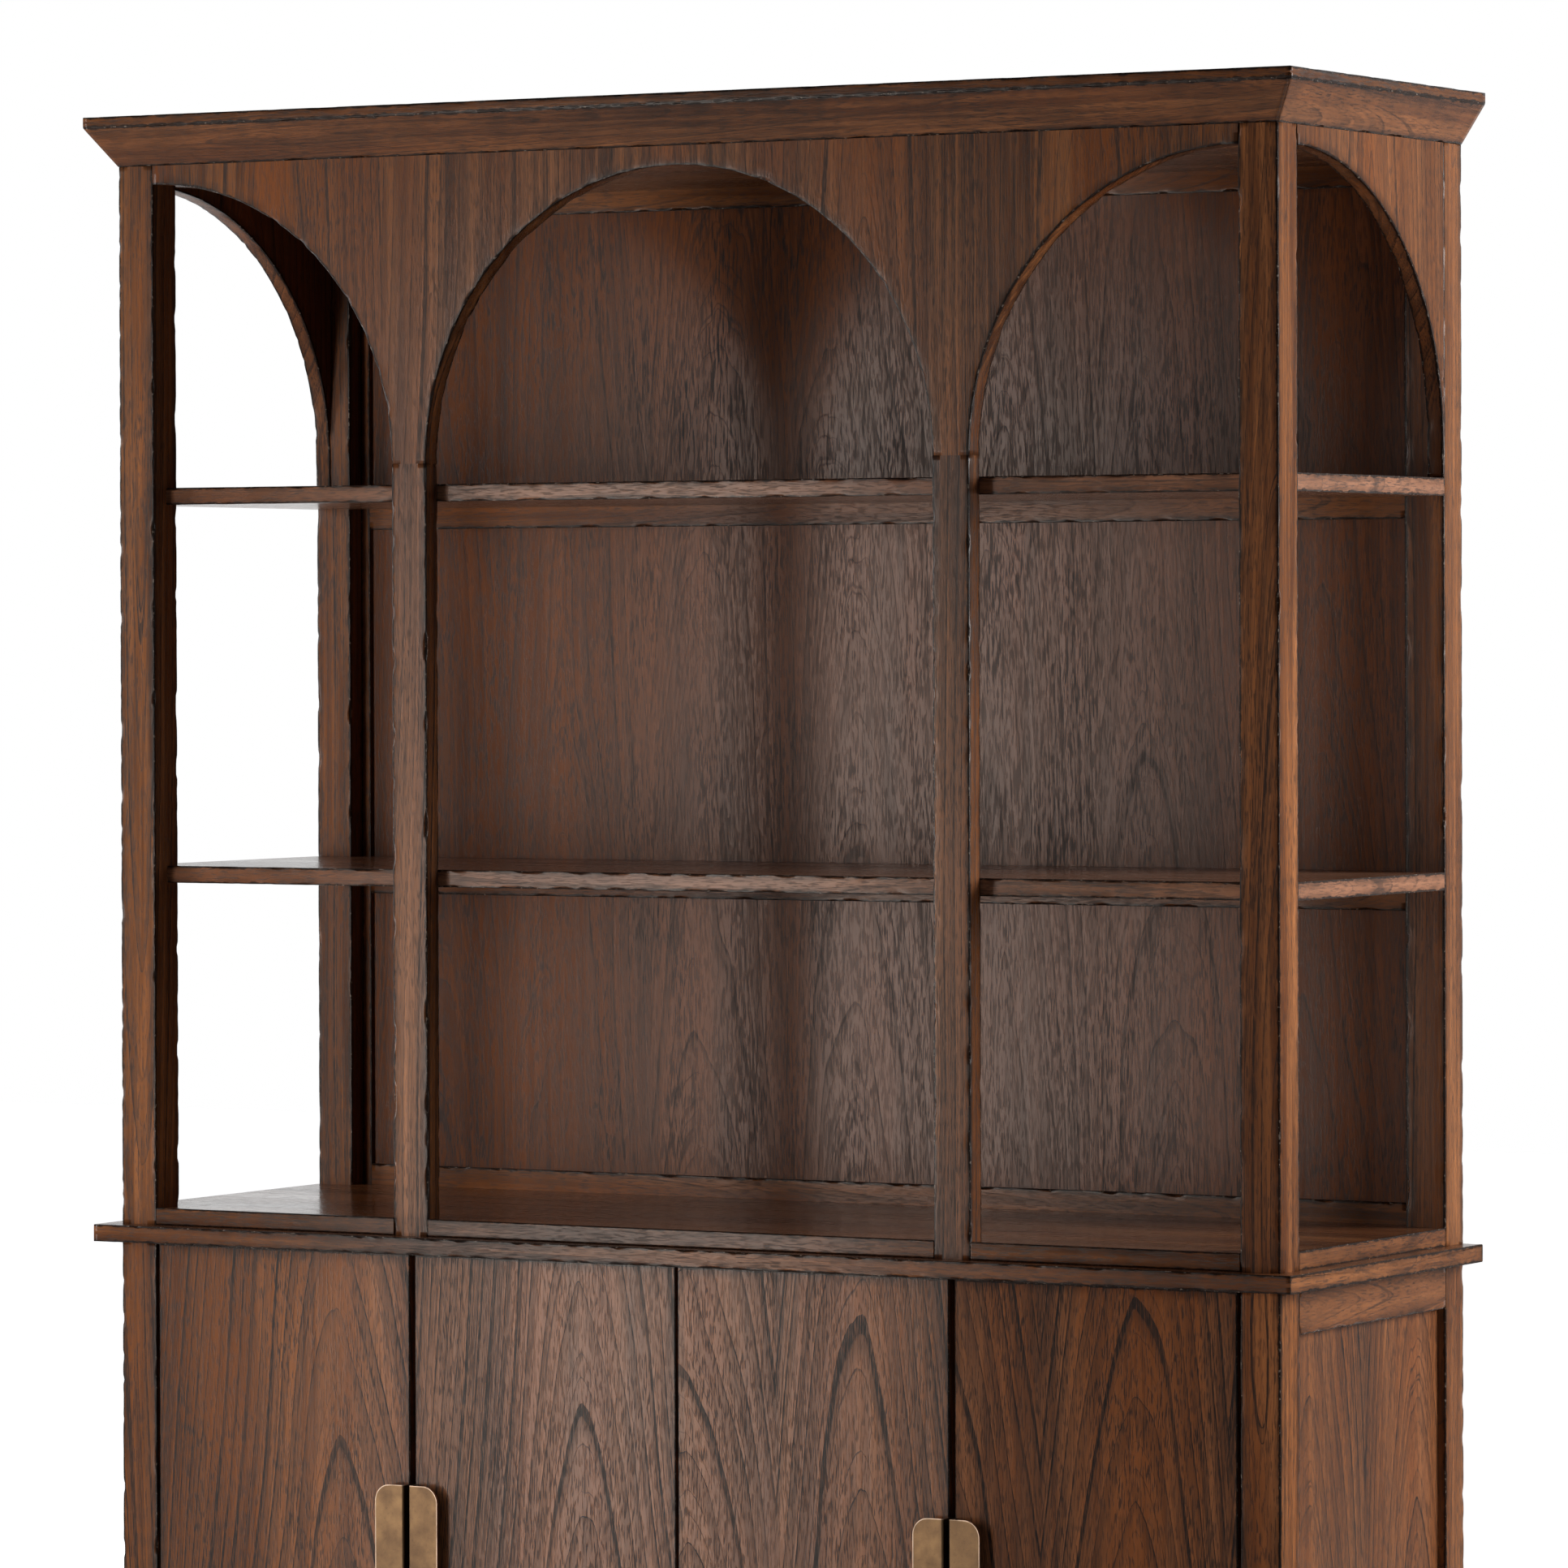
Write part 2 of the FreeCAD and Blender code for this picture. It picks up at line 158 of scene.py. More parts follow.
def new_group(name, inputs, outputs):
    """An empty shader group with named sockets, and its input and output nodes."""
    tree = bpy.data.node_groups.new(name, "ShaderNodeTree")
    for socket, kind, value in inputs:
        item = tree.interface.new_socket(socket, in_out="INPUT", socket_type="NodeSocket" + kind)
        if value is not None:
            item.default_value = value
    for socket, kind in outputs:
        tree.interface.new_socket(socket, in_out="OUTPUT", socket_type="NodeSocket" + kind)
    return tree, tree.nodes.new("NodeGroupInput").outputs, tree.nodes.new("NodeGroupOutput").inputs


def new_material(name):
    """A material with its node tree, its shader and the object's coordinates."""
    material = bpy.data.materials.new(name)
    material.use_nodes = True
    tree = material.node_tree
    place = put(tree, "TexCoord").outputs["Object"]
    return material, tree, tree.nodes["Principled BSDF"].inputs, place


# %% [markdown]
# Soft studio light: a tall, slightly warm panel at the left of the front gives the sheen on the
# doors, two more fill the faces, and a wide one at the back left stands for the bright backdrop.

# %% Lamps
bpy.context.scene.view_settings.view_transform = "Standard"
WHITE = (1, 1, 1)
WARM = (1, 0.93, 0.86)
# Each lamp has its place, target, size, power, share in reflections and tint.
LAMPS = {
    "key_panel": ((-2.9, -1.3, 1.7), (-0.4, -0.2, 1.4), (1.0, 2.2), 40, True, WHITE),
    "sheen_panel": ((-1.83, -3.2, 1.1), (-0.3, -0.2, 1.1), (0.75, 2.3), 40, True, WARM),
    "right_panel": ((3.5, 1.5, 2.3), (0.8, 0.1, 1.6), (1.6, 2.0), 140, True, WHITE),
    "backdrop": ((-2.6, 3.4, 1.6), (-2.6, 0, 1.6), (5.0, 3.2), 40, False, WHITE),
}
for name, (place, target, size, power, mirrored, tint) in LAMPS.items():
    lamp = bpy.data.lights.new(name, "AREA")
    lamp.shape = "RECTANGLE"
    lamp.size, lamp.size_y = size
    lamp.energy = power
    lamp.color = tint
    holder = bpy.data.objects.new(name, lamp)
    holder.location = place
    holder.rotation_euler = (Vector(target) - Vector(place)).to_track_quat("-Z", "Y").to_euler()
    holder.visible_camera = False
    holder.visible_glossy = mirrored
    bpy.context.scene.collection.objects.link(holder)
print(len(LAMPS), "lamps set")

# %% [markdown]
# A white sweep stands behind: the camera and mirror-like reflections see plain white there. Near
# the object the floor is lit only by the lamps, so it keeps the shadow.

# %% Room and floor
SWEEP_RISE = (0.42, 0.95)
ROOM_FILL = (0.035, 0.035, 0.036, 1)
ROOM_WHITE = (1, 1, 1, 1)


def white_rays(tree, behind):
    """Camera and transmission rays see white, and glossy rays where behind says the sweep stands."""
    path = put(tree, "LightPath").outputs
    mirrored = times(tree, path["Is Glossy Ray"], behind)
    straight = calc(tree, "MAXIMUM", path["Is Camera Ray"], path["Is Transmission Ray"])
    return calc(tree, "MAXIMUM", straight, mirrored)


def toward_sweep(tree, vector):
    """The share of a direction along the camera's level view, made into a rise."""
    unit = vector_calc(tree, "NORMALIZE", vector)["Vector"]
    share = vector_calc(tree, "DOT_PRODUCT", unit, (math.sin(YAW), math.cos(YAW), 0))["Value"]
    return remap(tree, share, *SWEEP_RISE)


world = bpy.data.worlds.new("room")
bpy.context.scene.world = world
world.use_nodes = True
tree = world.node_tree
toward = put(tree, "TexCoord").outputs["Generated"]
seen = white_rays(tree, toward_sweep(tree, toward))
feed(tree, tree.nodes["Background"].inputs["Color"], blend_colour(tree, seen, ROOM_FILL, ROOM_WHITE))

FLOOR_HALF = 14.0
FLOOR_CORNERS = np.array([(-1, -1, 0), (1, -1, 0), (1, 1, 0), (-1, 1, 0)])
FLOOR_COLOUR = (0.82, 0.82, 0.81, 1)
NEAR, FAR = 1.0, 4.0
NEAR_GLOW, FAR_GLOW = 0.30, 0.95
floor_mesh = bpy.data.meshes.new("floor")
floor_mesh.from_pydata((FLOOR_HALF * FLOOR_CORNERS).tolist(), [], [(0, 1, 2, 3)])
floor = bpy.data.objects.new("floor", floor_mesh)
bpy.context.scene.collection.objects.link(floor)
pale, tree, shader, spot = new_material("pale_floor")
shader["Base Color"].default_value = FLOOR_COLOUR
shader["Roughness"].default_value = 0.7
radius = vector_calc(tree, "LENGTH", spot)["Value"]
feed(tree, shader["Emission Color"], remap(tree, radius, NEAR, FAR, NEAR_GLOW, FAR_GLOW))
feed(tree, shader["Emission Strength"], white_rays(tree, toward_sweep(tree, spot)))
floor_mesh.materials.append(pale)
print("room and floor set")

# %% [markdown]
# The finish is one stained hardwood, so its figure is a shader node group placed in every wood
# material. Growth rings are tubes round a leaning pith: where a flat board cuts them they show as
# nested pointed arches. A wide panel is veneered in leaves, and each leaf repeats the figure.

# %% Rings of the grain
LIGHT = (0.410, 0.158, 0.058, 1)
MIDDLE = (0.122, 0.044, 0.019, 1)
RUST = (0.250, 0.076, 0.022, 1)
LINE = (0.020, 0.013, 0.011, 1)
# Noise cells per metre across and along the grain, and the noise's detail.
CELLS = {"slow bend": (6, 1.3, 0.4), "bend": (24, 3.4, 1), "fray": (170, 12, 2), "hair": (600, 42, 2),
         "gaps": (16, 3.0, 3), "fine pores": (580, 60, 1.5), "long pores": (340, 28, 1.5),
         "crowds": (20, 5, 2), "streaks": (95, 2.4, 4), "clouds": (16, 1.2, 3), "rust": (14, 0.9, 2)}
# Distances to a line, in metres, between which it fades.
CORE = (0.0020, 0.0038)
HALO = (0.003, 0.018)
FAINT = (0.0012, 0.0028)
FAINT_PER_RING = 3.0
BLUNT = 0.00002
# Steps from one seed to the next in the draws of the leaves and in the noise.
LEAF_STEP = 13.7
SEED_STEPS = (3.1, 0.0, 7.3)


def leaf_draws(tree, given, across):
    """The place across its own leaf, and a slide, tone and pore share drawn for that leaf."""
    leaf = calc(tree, "ROUND", calc(tree, "DIVIDE", across, given["Leaf Width"]))
    draw = put(tree, "TexWhiteNoise", noise_dimensions="1D")
    feed(tree, draw.inputs["W"], times(tree, given["Seed"], LEAF_STEP, leaf))
    drawn = filled(tree, "SeparateColor", draw.outputs["Color"])
    slide, tone, pores = (times(tree, item, given["Leaf Change"]) for item in drawn)
    across = calc(tree, "SUBTRACT", across, times(tree, leaf, given["Leaf Width"]))
    return times(tree, tone, 0.05, across), slide, tone, pores


def ring_distance(tree, given, across, through, along, drift):
    """Distance from the pith, pointed by a share of the way across, and its slope over the surface.

    A slow and a middling warp bend the rings and a quick one frays them along the pores.
    """
    leaning = times(tree, along, given["Lean"], given["Pith Depth"])
    below = calc(tree, "ADD", leaning, through)
    square = times(tree, across, across)
    root = calc(tree, "SQRT", times(tree, below, below, square))
    sharp = calc(tree, "SQRT", calc(tree, "ADD", square, BLUNT))
    radius = times(tree, sharp, given["Point"], root)
    slow, middling, quick = (calc(tree, "SUBTRACT", noise(tree, drift, *CELLS[kind]), 0.5)
                             for kind in ("slow bend", "bend", "fray"))
    bend = times(tree, times(tree, middling, 0.16, slow), given["Warp"])
    radius = calc(tree, "ADD", radius, times(tree, quick, 0.0005, bend))
    steep = calc(tree, "ADD", calc(tree, "DIVIDE", 1.0, root), calc(tree, "DIVIDE", given["Point"], sharp))
    sideways = times(tree, calc(tree, "ABSOLUTE", across), steep)
    upward = times(tree, given["Warp"], 0.35, calc(tree, "ABSOLUTE", given["Lean"]))
    upward_square = times(tree, upward, upward)
    return radius, calc(tree, "SQRT", times(tree, sideways, sideways, upward_square))


def to_line(tree, turn, reach):
    """The rest of the way to the next whole number, times the length of one turn on the surface."""
    rest = calc(tree, "SUBTRACT", 1.0, calc(tree, "FRACT", turn))
    return times(tree, rest, reach)


def ring_lines(tree, given, radius, slope, drift):
    """A ring ends where (radius / ring gap + noise of the radius) passes a whole number.

    One turn is (ring gap / slope) long on the surface, so a line keeps its width at the tips of the
    arches. Each line has a dark core and a halo behind it, with faint lines between.
    """
    uneven = put(tree, "TexNoise", noise_dimensions="1D")
    feed(tree, uneven.inputs["W"], times(tree, radius, 45.0))
    steady = calc(tree, "DIVIDE", radius, given["Ring Gap"])
    turn = times(tree, uneven.outputs["Fac"], 0.8, steady)
    reach = calc(tree, "DIVIDE", given["Ring Gap"], slope)
    hair = remap(tree, noise(tree, drift, *CELLS["hair"]), 0.36, 0.52, 0.5, 1.0)
    behind = to_line(tree, turn, reach)
    core = times(tree, remap(tree, behind, *CORE, 1.0, 0.0), hair)
    halo = remap(tree, behind, *HALO, 0.42, 0.0)
    beside = to_line(tree, times(tree, turn, FAINT_PER_RING),
                     calc(tree, "DIVIDE", reach, FAINT_PER_RING))
    faint = times(tree, remap(tree, beside, *FAINT, 0.75, 0.0), hair)
    broken = remap(tree, noise(tree, drift, *CELLS["gaps"]), 0.36, 0.58, 0.35, 1.0)
    main = calc(tree, "MAXIMUM", core, halo)
    ring = calc(tree, "MAXIMUM", main, times(tree, faint, broken))
    strength = times(tree, remap(tree, broken, 0.35, 0.7, 0.75, 1.0), given["Figure"])
    return times(tree, ring, strength)


# %% [markdown]
# Between the rings the stain sits dark in the open pores, which are long narrow noise, and clouds
# the ground between two browns. Pores and lines are rough, so they take less of the sheen.

# %% Stained grain group
GRAIN_INPUTS = {"Seed": 0.0, "Ring Gap": 0.011, "Pith Depth": 0.10, "Lean": 0.05, "Point": 0.08,
                "Warp": 0.03, "Leaf Width": 5.0, "Leaf Change": 0.0, "Figure": 0.6, "Pores": 0.75,
                "Rust": 0.5, "Polish": 0.0}
GROUND_ROUGH, PORE_ROUGH = 0.21, 0.43


def open_pores(tree, drift, leaf_pores):
    """Fine short pores and sparse long ones, thinned by slow noise."""
    fine = remap(tree, noise(tree, drift, *CELLS["fine pores"]), 0.53, 0.61, 0.0, 0.85)
    long = remap(tree, noise(tree, drift, *CELLS["long pores"]), 0.57, 0.64)
    long = times(tree, long, times(tree, leaf_pores, 0.8, 0.35))
    crowds = remap(tree, noise(tree, drift, *CELLS["crowds"]), 0.34, 0.62, 0.5, 1.0)
    return times(tree, calc(tree, "MAXIMUM", fine, long), crowds)


def stained_ground(tree, given, drift, leaf_tone):
    """Streaks and clouds mix the two browns half and half, and rusty patches lie over them."""
    streak = remap(tree, noise(tree, drift, *CELLS["streaks"], 0.62), 0.41, 0.59)
    cloud = remap(tree, noise(tree, drift, *CELLS["clouds"]), 0.40, 0.60)
    shade = times(tree, cloud, 0.5, times(tree, streak, 0.5))
    shade = calc(tree, "SUBTRACT", shade, times(tree, leaf_tone, 0.35))
    colour = blend_colour(tree, calc(tree, "MAXIMUM", shade, 0.0), given["Middle"], given["Light"])
    rust = remap(tree, noise(tree, drift, *CELLS["rust"]), 0.44, 0.64)
    return blend_colour(tree, times(tree, rust, given["Rust"]), colour, RUST), streak


def stained_grain():
    """Colour, roughness and height of the wood, from a vector whose third part runs along the grain."""
    tree, given, out = new_group(
        "stained_grain",
        [("Vector", "Vector", None)] + [(key, "Float", value) for key, value in GRAIN_INPUTS.items()]
        + [("Light", "Color", LIGHT), ("Middle", "Color", MIDDLE), ("Line", "Color", LINE)],
        [("Color", "Color"), ("Roughness", "Float"), ("Height", "Float")])
    across, through, along = filled(tree, "SeparateXYZ", given["Vector"])
    steps = [times(tree, given["Seed"], step) for step in SEED_STEPS]
    away = filled(tree, "CombineXYZ", *steps)[0]
    drift = vector_calc(tree, "ADD", given["Vector"], away)["Vector"]
    across, leaf_slide, leaf_tone, leaf_pores = leaf_draws(tree, given, across)
    along = calc(tree, "ADD", along, leaf_slide)
    radius, slope = ring_distance(tree, given, across, through, along, drift)
    ring = ring_lines(tree, given, radius, slope, drift)
    pores = open_pores(tree, drift, leaf_pores)
    colour, streak = stained_ground(tree, given, drift, leaf_tone)
    colour = blend_colour(tree, times(tree, pores, given["Pores"]), colour, given["Line"])
    feed(tree, out["Color"], blend_colour(tree, ring, colour, given["Line"]))
    rough = remap(tree, calc(tree, "ADD", pores, ring), 0.0, 1.3, GROUND_ROUGH, PORE_ROUGH)
    feed(tree, out["Roughness"], calc(tree, "SUBTRACT", rough, given["Polish"]))
    height = calc(tree, "SUBTRACT", times(tree, streak, 0.3), pores)
    feed(tree, out["Height"], calc(tree, "SUBTRACT", height, times(tree, ring, 0.5)))
    return tree


GRAIN = stained_grain()
print("group", GRAIN.name, "with", len(GRAIN.nodes), "nodes")

# %% [markdown]
# Every arris of the real piece was rubbed uneven and then glazed nearly black. Small pale specks right
# on the arris are a painted highlight. The group needs the distance to the nearest arris: new
# meshes carry it as an attribute, and on a plain block it follows from the block's faces.

# %% Edge groups
GLAZE_COLOUR = (0.012, 0.009, 0.008, 1)
# The pale colour of the painted highlight on the arris.
ARRIS_HIGHLIGHT_COLOUR = (0.42, 0.34, 0.28, 1)
SMUDGE_REACH = 0.013
ARRIS_HIGHLIGHT_REACH = 0.0012


def box_edge_distance():
    """On a block's surface the nearest face is at zero, so the middle distance is to the arris."""
    places = [(key, "Vector", None) for key in ("Vector", "Low", "High")]
    tree, given, out = new_group("box_edge_distance", places, [("Distance", "Float")])
    from_low = vector_calc(tree, "SUBTRACT", given["Vector"], given["Low"])["Vector"]
    from_high = vector_calc(tree, "SUBTRACT", given["High"], given["Vector"])["Vector"]
    least = vector_calc(tree, "MINIMUM", from_low, from_high)["Vector"]
    x, y, z = filled(tree, "SeparateXYZ", least)
    low_pair = calc(tree, "MINIMUM", x, y)
    high_pair = calc(tree, "MAXIMUM", x, y)
    feed(tree, out["Distance"], calc(tree, "MAXIMUM", low_pair, calc(tree, "MINIMUM", high_pair, z)))
    return tree


def rubbed_edge():
    """Glaze nearer to the arris than an uneven width, smudges beyond it and a painted highlight on it."""
    tree, given, out = new_group(
        "rubbed_edge",
        [("Color", "Color", MIDDLE), ("Vector", "Vector", None), ("Distance", "Float", 0.02),
         ("Width", "Float", 0.004)],
        [("Color", "Color")])
    uneven = noise(tree, given["Vector"], 70, 70, 3, 0.6)
    width = times(tree, given["Width"], remap(tree, uneven, 0.3, 0.7, 0.3, 1.5))
    near = calc(tree, "SUBTRACT", 1.0, calc(tree, "DIVIDE", given["Distance"], width))
    glaze = times(tree, remap(tree, near, 0.0, 0.5), 0.93)
    patches = remap(tree, noise(tree, given["Vector"], 22, 22, 3), 0.38, 0.62, 0.2, 1.0)
    smudge = times(tree, remap(tree, given["Distance"], 0.0, SMUDGE_REACH, 0.7, 0.0), patches)
    colour = blend_colour(tree, calc(tree, "MAXIMUM", glaze, smudge), given["Color"], GLAZE_COLOUR)
    # Pale specks right on the arris: a painted highlight.
    specks = remap(tree, noise(tree, given["Vector"], 190, 190, 3), 0.60, 0.68)
    on_arris = remap(tree, given["Distance"], 0.0, ARRIS_HIGHLIGHT_REACH, 1.0, 0.0)
    painted_highlight = times(tree, times(tree, specks, on_arris), 0.5)
    feed(tree, out["Color"], blend_colour(tree, painted_highlight, colour, ARRIS_HIGHLIGHT_COLOUR))
    return tree


BOX_EDGE = box_edge_distance()
RUBBED = rubbed_edge()
print("groups", BOX_EDGE.name, RUBBED.name)

# %% [markdown]
# A wood material turns the object's coordinates so that the third one runs along the grain,
# centres them on its own board, and sends them through the two groups. Each board gets its own
# pith and seed, so no two show the same figure.

# %% Wood material
ORDER = {"Z": (0, 1, 2), "Z side": (1, 0, 2), "X": (2, 1, 0), "Y": (2, 0, 1), "X flat": (1, 2, 0)}
BROWNS = (LIGHT, MIDDLE)
BUMP_STRENGTH = 0.13
BUMP_DEPTH = 0.0006


def group_node(tree, group, **values):
    """A group placed in a material, with underscores in the given names read as spaces."""
    node = put(tree, "Group", node_tree=group)
    for key, value in values.items():
        feed(tree, node.inputs[key.replace("_", " ")], value)
    return node.outputs


def box_centre(node):
    """The middle of a node's box."""
    low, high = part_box(node)
    return [(a + b) / 2 for a, b in zip(low, high)]


def wood(node, grain, seed, shift=(0, 0, 0), boxed=False, glaze=0.004, sheen=0.22, browns=BROWNS, tone=1.0,
         name="wood_", **cut_values):
    """One board's finish, with inputs of the grain group.

    The pith lies a shift away from the board's middle, and tone makes its two browns lighter or darker.
    A boxed board is a plain block.
    """
    material, tree, shader, place = new_material(name + node)
    back = [-middle - step for middle, step in zip(box_centre(node), shift)]
    parts = filled(tree, "SeparateXYZ", filled(tree, "Mapping", place, back)[0])
    turned = filled(tree, "CombineXYZ", *(parts[axis] for axis in ORDER[grain]))[0]
    light, middle = ((*(tone * part for part in brown[:3]), 1) for brown in browns)
    cut = group_node(tree, GRAIN, Vector=turned, Seed=seed, Light=light, Middle=middle, **cut_values)
    if boxed:
        low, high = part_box(node)
        distance = group_node(tree, BOX_EDGE, Vector=place, Low=low, High=high)["Distance"]
    else:
        distance = put(tree, "Attribute", attribute_name="edge").outputs["Fac"]
    rubbed = group_node(tree, RUBBED, Color=cut["Color"], Vector=place, Distance=distance, Width=glaze)
    feed(tree, shader["Base Color"], rubbed["Color"])
    feed(tree, shader["Roughness"], cut["Roughness"])
    shader["Specular IOR Level"].default_value = sheen
    bump = put(tree, "Bump")
    bump.inputs["Strength"].default_value = BUMP_STRENGTH
    bump.inputs["Distance"].default_value = BUMP_DEPTH
    feed(tree, bump.inputs["Height"], cut["Height"])
    feed(tree, shader["Normal"], bump.outputs["Normal"])
    return material


# %% [markdown]
# The sticks and boards: a polygon section carried along a line. At every station each corner is
# set in a little and rounded by its own wandering amount, so the arris looks pared by hand.
# The ring of points round the section also stores how far it is from the nearest arris.

# %% Worn sections
STATION = 0.006
WEAR = 0.0010
WAVE = 0.05
WAVES = 7
ROUND_STEPS = np.array([0.0, 0.35, 0.65, 1.0])
GUARD = np.array([0.0025, 0.006, 0.013])
GUARD_SHARE = np.array([0.5, 0.18, 0.0])


def wander(along, seed, count):
    """Rows of smooth noise between 0 and 1: sums of sines with drawn phases and wavelengths."""
    rng = np.random.default_rng(seed)
    lengths = WAVE * rng.uniform(0.3, 2.4, (count, WAVES, 1))
    phases = rng.uniform(0, 2 * np.pi, (count, WAVES, 1))
    total = np.sin(2 * np.pi * along[None, None, :] / lengths + phases).sum(axis=1)
    return np.clip(0.5 + total / (2.2 * math.sqrt(WAVES)), 0, 1)


def arris_wear(along, seed, count):
    """How far each arris is set in, with a dent where the noise peaks, and how widely it is rounded."""
    noise_in = wander(along, seed, count)
    dent = np.clip((noise_in - 0.8) / 0.2, 0, 1)
    inset = WEAR * (0.1 + 0.3 * noise_in ** 2 + 0.7 * dent)
    radius = WEAR * (0.5 + 1.5 * wander(along, seed + 1, count) ** 3)
    return inset, radius


def worn_section(corners, along, seed):
    """Each corner is moved in, rounded by a parabola between its two edges, and fenced by guard points.

    corners is an anticlockwise polygon. Returns points (stations, ring, 2) and edge distances (ring).
    """
    corners = np.asarray(corners, float)
    count = len(corners)
    side = np.roll(corners, -1, axis=0) - corners
    length = np.linalg.norm(side, axis=1)
    forward = side / length[:, None]
    backward = -np.roll(forward, 1, axis=0)
    inset, radius = arris_wear(along, seed, count)
    rows = []
    distance = []
    for k in range(count):
        guard = GUARD * min(1.0, 0.4 * min(length[k], length[k - 1]) / GUARD[-1])
        deep = inset[k][:, None]
        inner = corners[k] + deep * (forward[k] + backward[k])
        for step, share in zip(guard[::-1], GUARD_SHARE[::-1]):
            rows.append(corners[k] + backward[k] * step + share * deep * forward[k])
            distance.append(step)
        start = inner + backward[k] * radius[k][:, None]
        end = inner + forward[k] * radius[k][:, None]
        for t in ROUND_STEPS:
            rows.append((1 - t) ** 2 * start + 2 * t * (1 - t) * inner + t ** 2 * end)
            distance.append(0.0)
        for step, share in zip(guard, GUARD_SHARE):
            rows.append(corners[k] + forward[k] * step + share * deep * backward[k])
            distance.append(step)
    return np.stack(rows, axis=1), np.array(distance)


# %% [markdown]
# A skin closes such rings of points to one mesh that takes the place of the frame's plain stick. The
# ends of a board can carry a band with its grain running the other way.

# %% Closed skins
SECTION_AXES = {0: (1, 2), 1: (2, 0), 2: (0, 1)}


def add_piece(name, vertices, faces, material, body, node=None, edge=None):
    """A mesh object on a body and in a slot, which may stand for a node and carry edge distances."""
    mesh = bpy.data.meshes.new(name)
    mesh.from_pydata(vertices.tolist(), [], faces)
    mesh.materials.append(material)
    if edge is not None:
        attribute = mesh.attributes.new("edge", "FLOAT", "POINT")
        attribute.data.foreach_set("value", edge.ravel().astype(np.float32))
    piece = bpy.data.objects.new(name, mesh)
    bpy.context.scene.collection.objects.link(piece)
    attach(piece, body)
    if node:
        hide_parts(node)
    return piece


def ring_faces(stations, ring):
    """Quads between neighbouring rings, closed round the section."""
    base = np.arange(stations - 1)[:, None] * ring
    here = np.arange(ring)[None, :]
    after = (here + 1) % ring
    above = base + ring
    return np.stack([base + here, base + after, above + after, above + here], axis=-1).reshape(-1, 4)


def skin(node, points, distance, material, flip=False, ends=None):
    """A closed mesh from rings of points, with a fan over each end, that stands for one CAD node.

    A strip whose two rows lie at the same distance from an arris is flat, and the rest is smooth.
    The fans take the material ends where it is given.
    """
    stations, ring = points.shape[:2]
    vertices = np.concatenate([points.reshape(-1, 3), points[[0, -1]].mean(axis=1)])
    here = np.arange(ring)
    after = (here + 1) % ring
    last = (stations - 1) * ring
    hub = np.full(ring, stations * ring)
    quads = ring_faces(stations, ring)
    fans = np.concatenate([np.stack([hub, after, here], axis=-1),
                           np.stack([hub + 1, last + here, last + after], axis=-1)])
    turn = -1 if flip else 1
    edge = np.concatenate([np.tile(distance, stations), GUARD[-1:], GUARD[-1:]])
    piece = add_piece(node + "_worn", vertices, quads[:, ::turn].tolist() + fans[:, ::turn].tolist(),
                      material, "cabinet", node, edge)
    smooth = (distance[here] != distance[after]) | (distance[here] == 0)
    smooth = np.concatenate([np.tile(smooth, stations - 1), np.zeros(len(fans), bool)])
    piece.data.polygons.foreach_set("use_smooth", smooth)
    if ends:
        piece.data.materials.append(ends)
        piece.data.polygons.foreach_set("material_index", np.repeat([0, 1], [len(quads), len(fans)]))


def worn_block(node, axis, seed, material, trim=0.0, ends=None):
    """A block along one axis, over the node's own box, with worn arrises. trim shortens both ends."""
    low, high = (np.array(corner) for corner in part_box(node))
    u, v = SECTION_AXES[axis]
    corners = [(low[u], low[v]), (high[u], low[v]), (high[u], high[v]), (low[u], high[v])]
    along = np.linspace(low[axis] + trim, high[axis] - trim, int((high[axis] - low[axis]) / STATION))
    section, distance = worn_section(corners, along, seed)
    points = np.empty(section.shape[:2] + (3,))
    points[..., axis] = along[:, None]
    points[..., [u, v]] = section
    skin(node, points, distance, material, ends=ends)


def named(*words):
    """The frame's nodes whose names hold one of the words, in order, each with a seed of its own."""
    found = sorted(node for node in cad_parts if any(word in node for word in words))
    return [(node, 100 * len(words[0]) + 7 * index) for index, node in enumerate(found)]


# %% [markdown]
# Posts and mullions: straight stock with the grain upright. Their piths lie a few centimetres behind
# the stick, which gives long lines with now and then a tighter bend. The right front posts are of a
# lighter wood with less sheen.

# %% Posts and mullions
SHEEN_TONE = {"front_right": (0.07, 1.2), "mullion": (0.25, 1.06), "post": (0.19, 1.0)}
for node, seed in named("_post_", "mullion"):
    draw = np.random.default_rng(seed)
    sheen, tone = next(pair for word, pair in SHEEN_TONE.items() if word in node)
    finish = wood(node, "Z", seed, (draw.uniform(-0.06, 0.06), 0, 0), sheen=sheen, tone=tone,
                  Ring_Gap=draw.uniform(0.009, 0.013), Pith_Depth=draw.uniform(0.04, 0.10),
                  Lean=draw.uniform(-0.05, 0.05), Figure=0.9)
    worn_block(node, 2, seed, finish)
print("posts and mullions dressed")
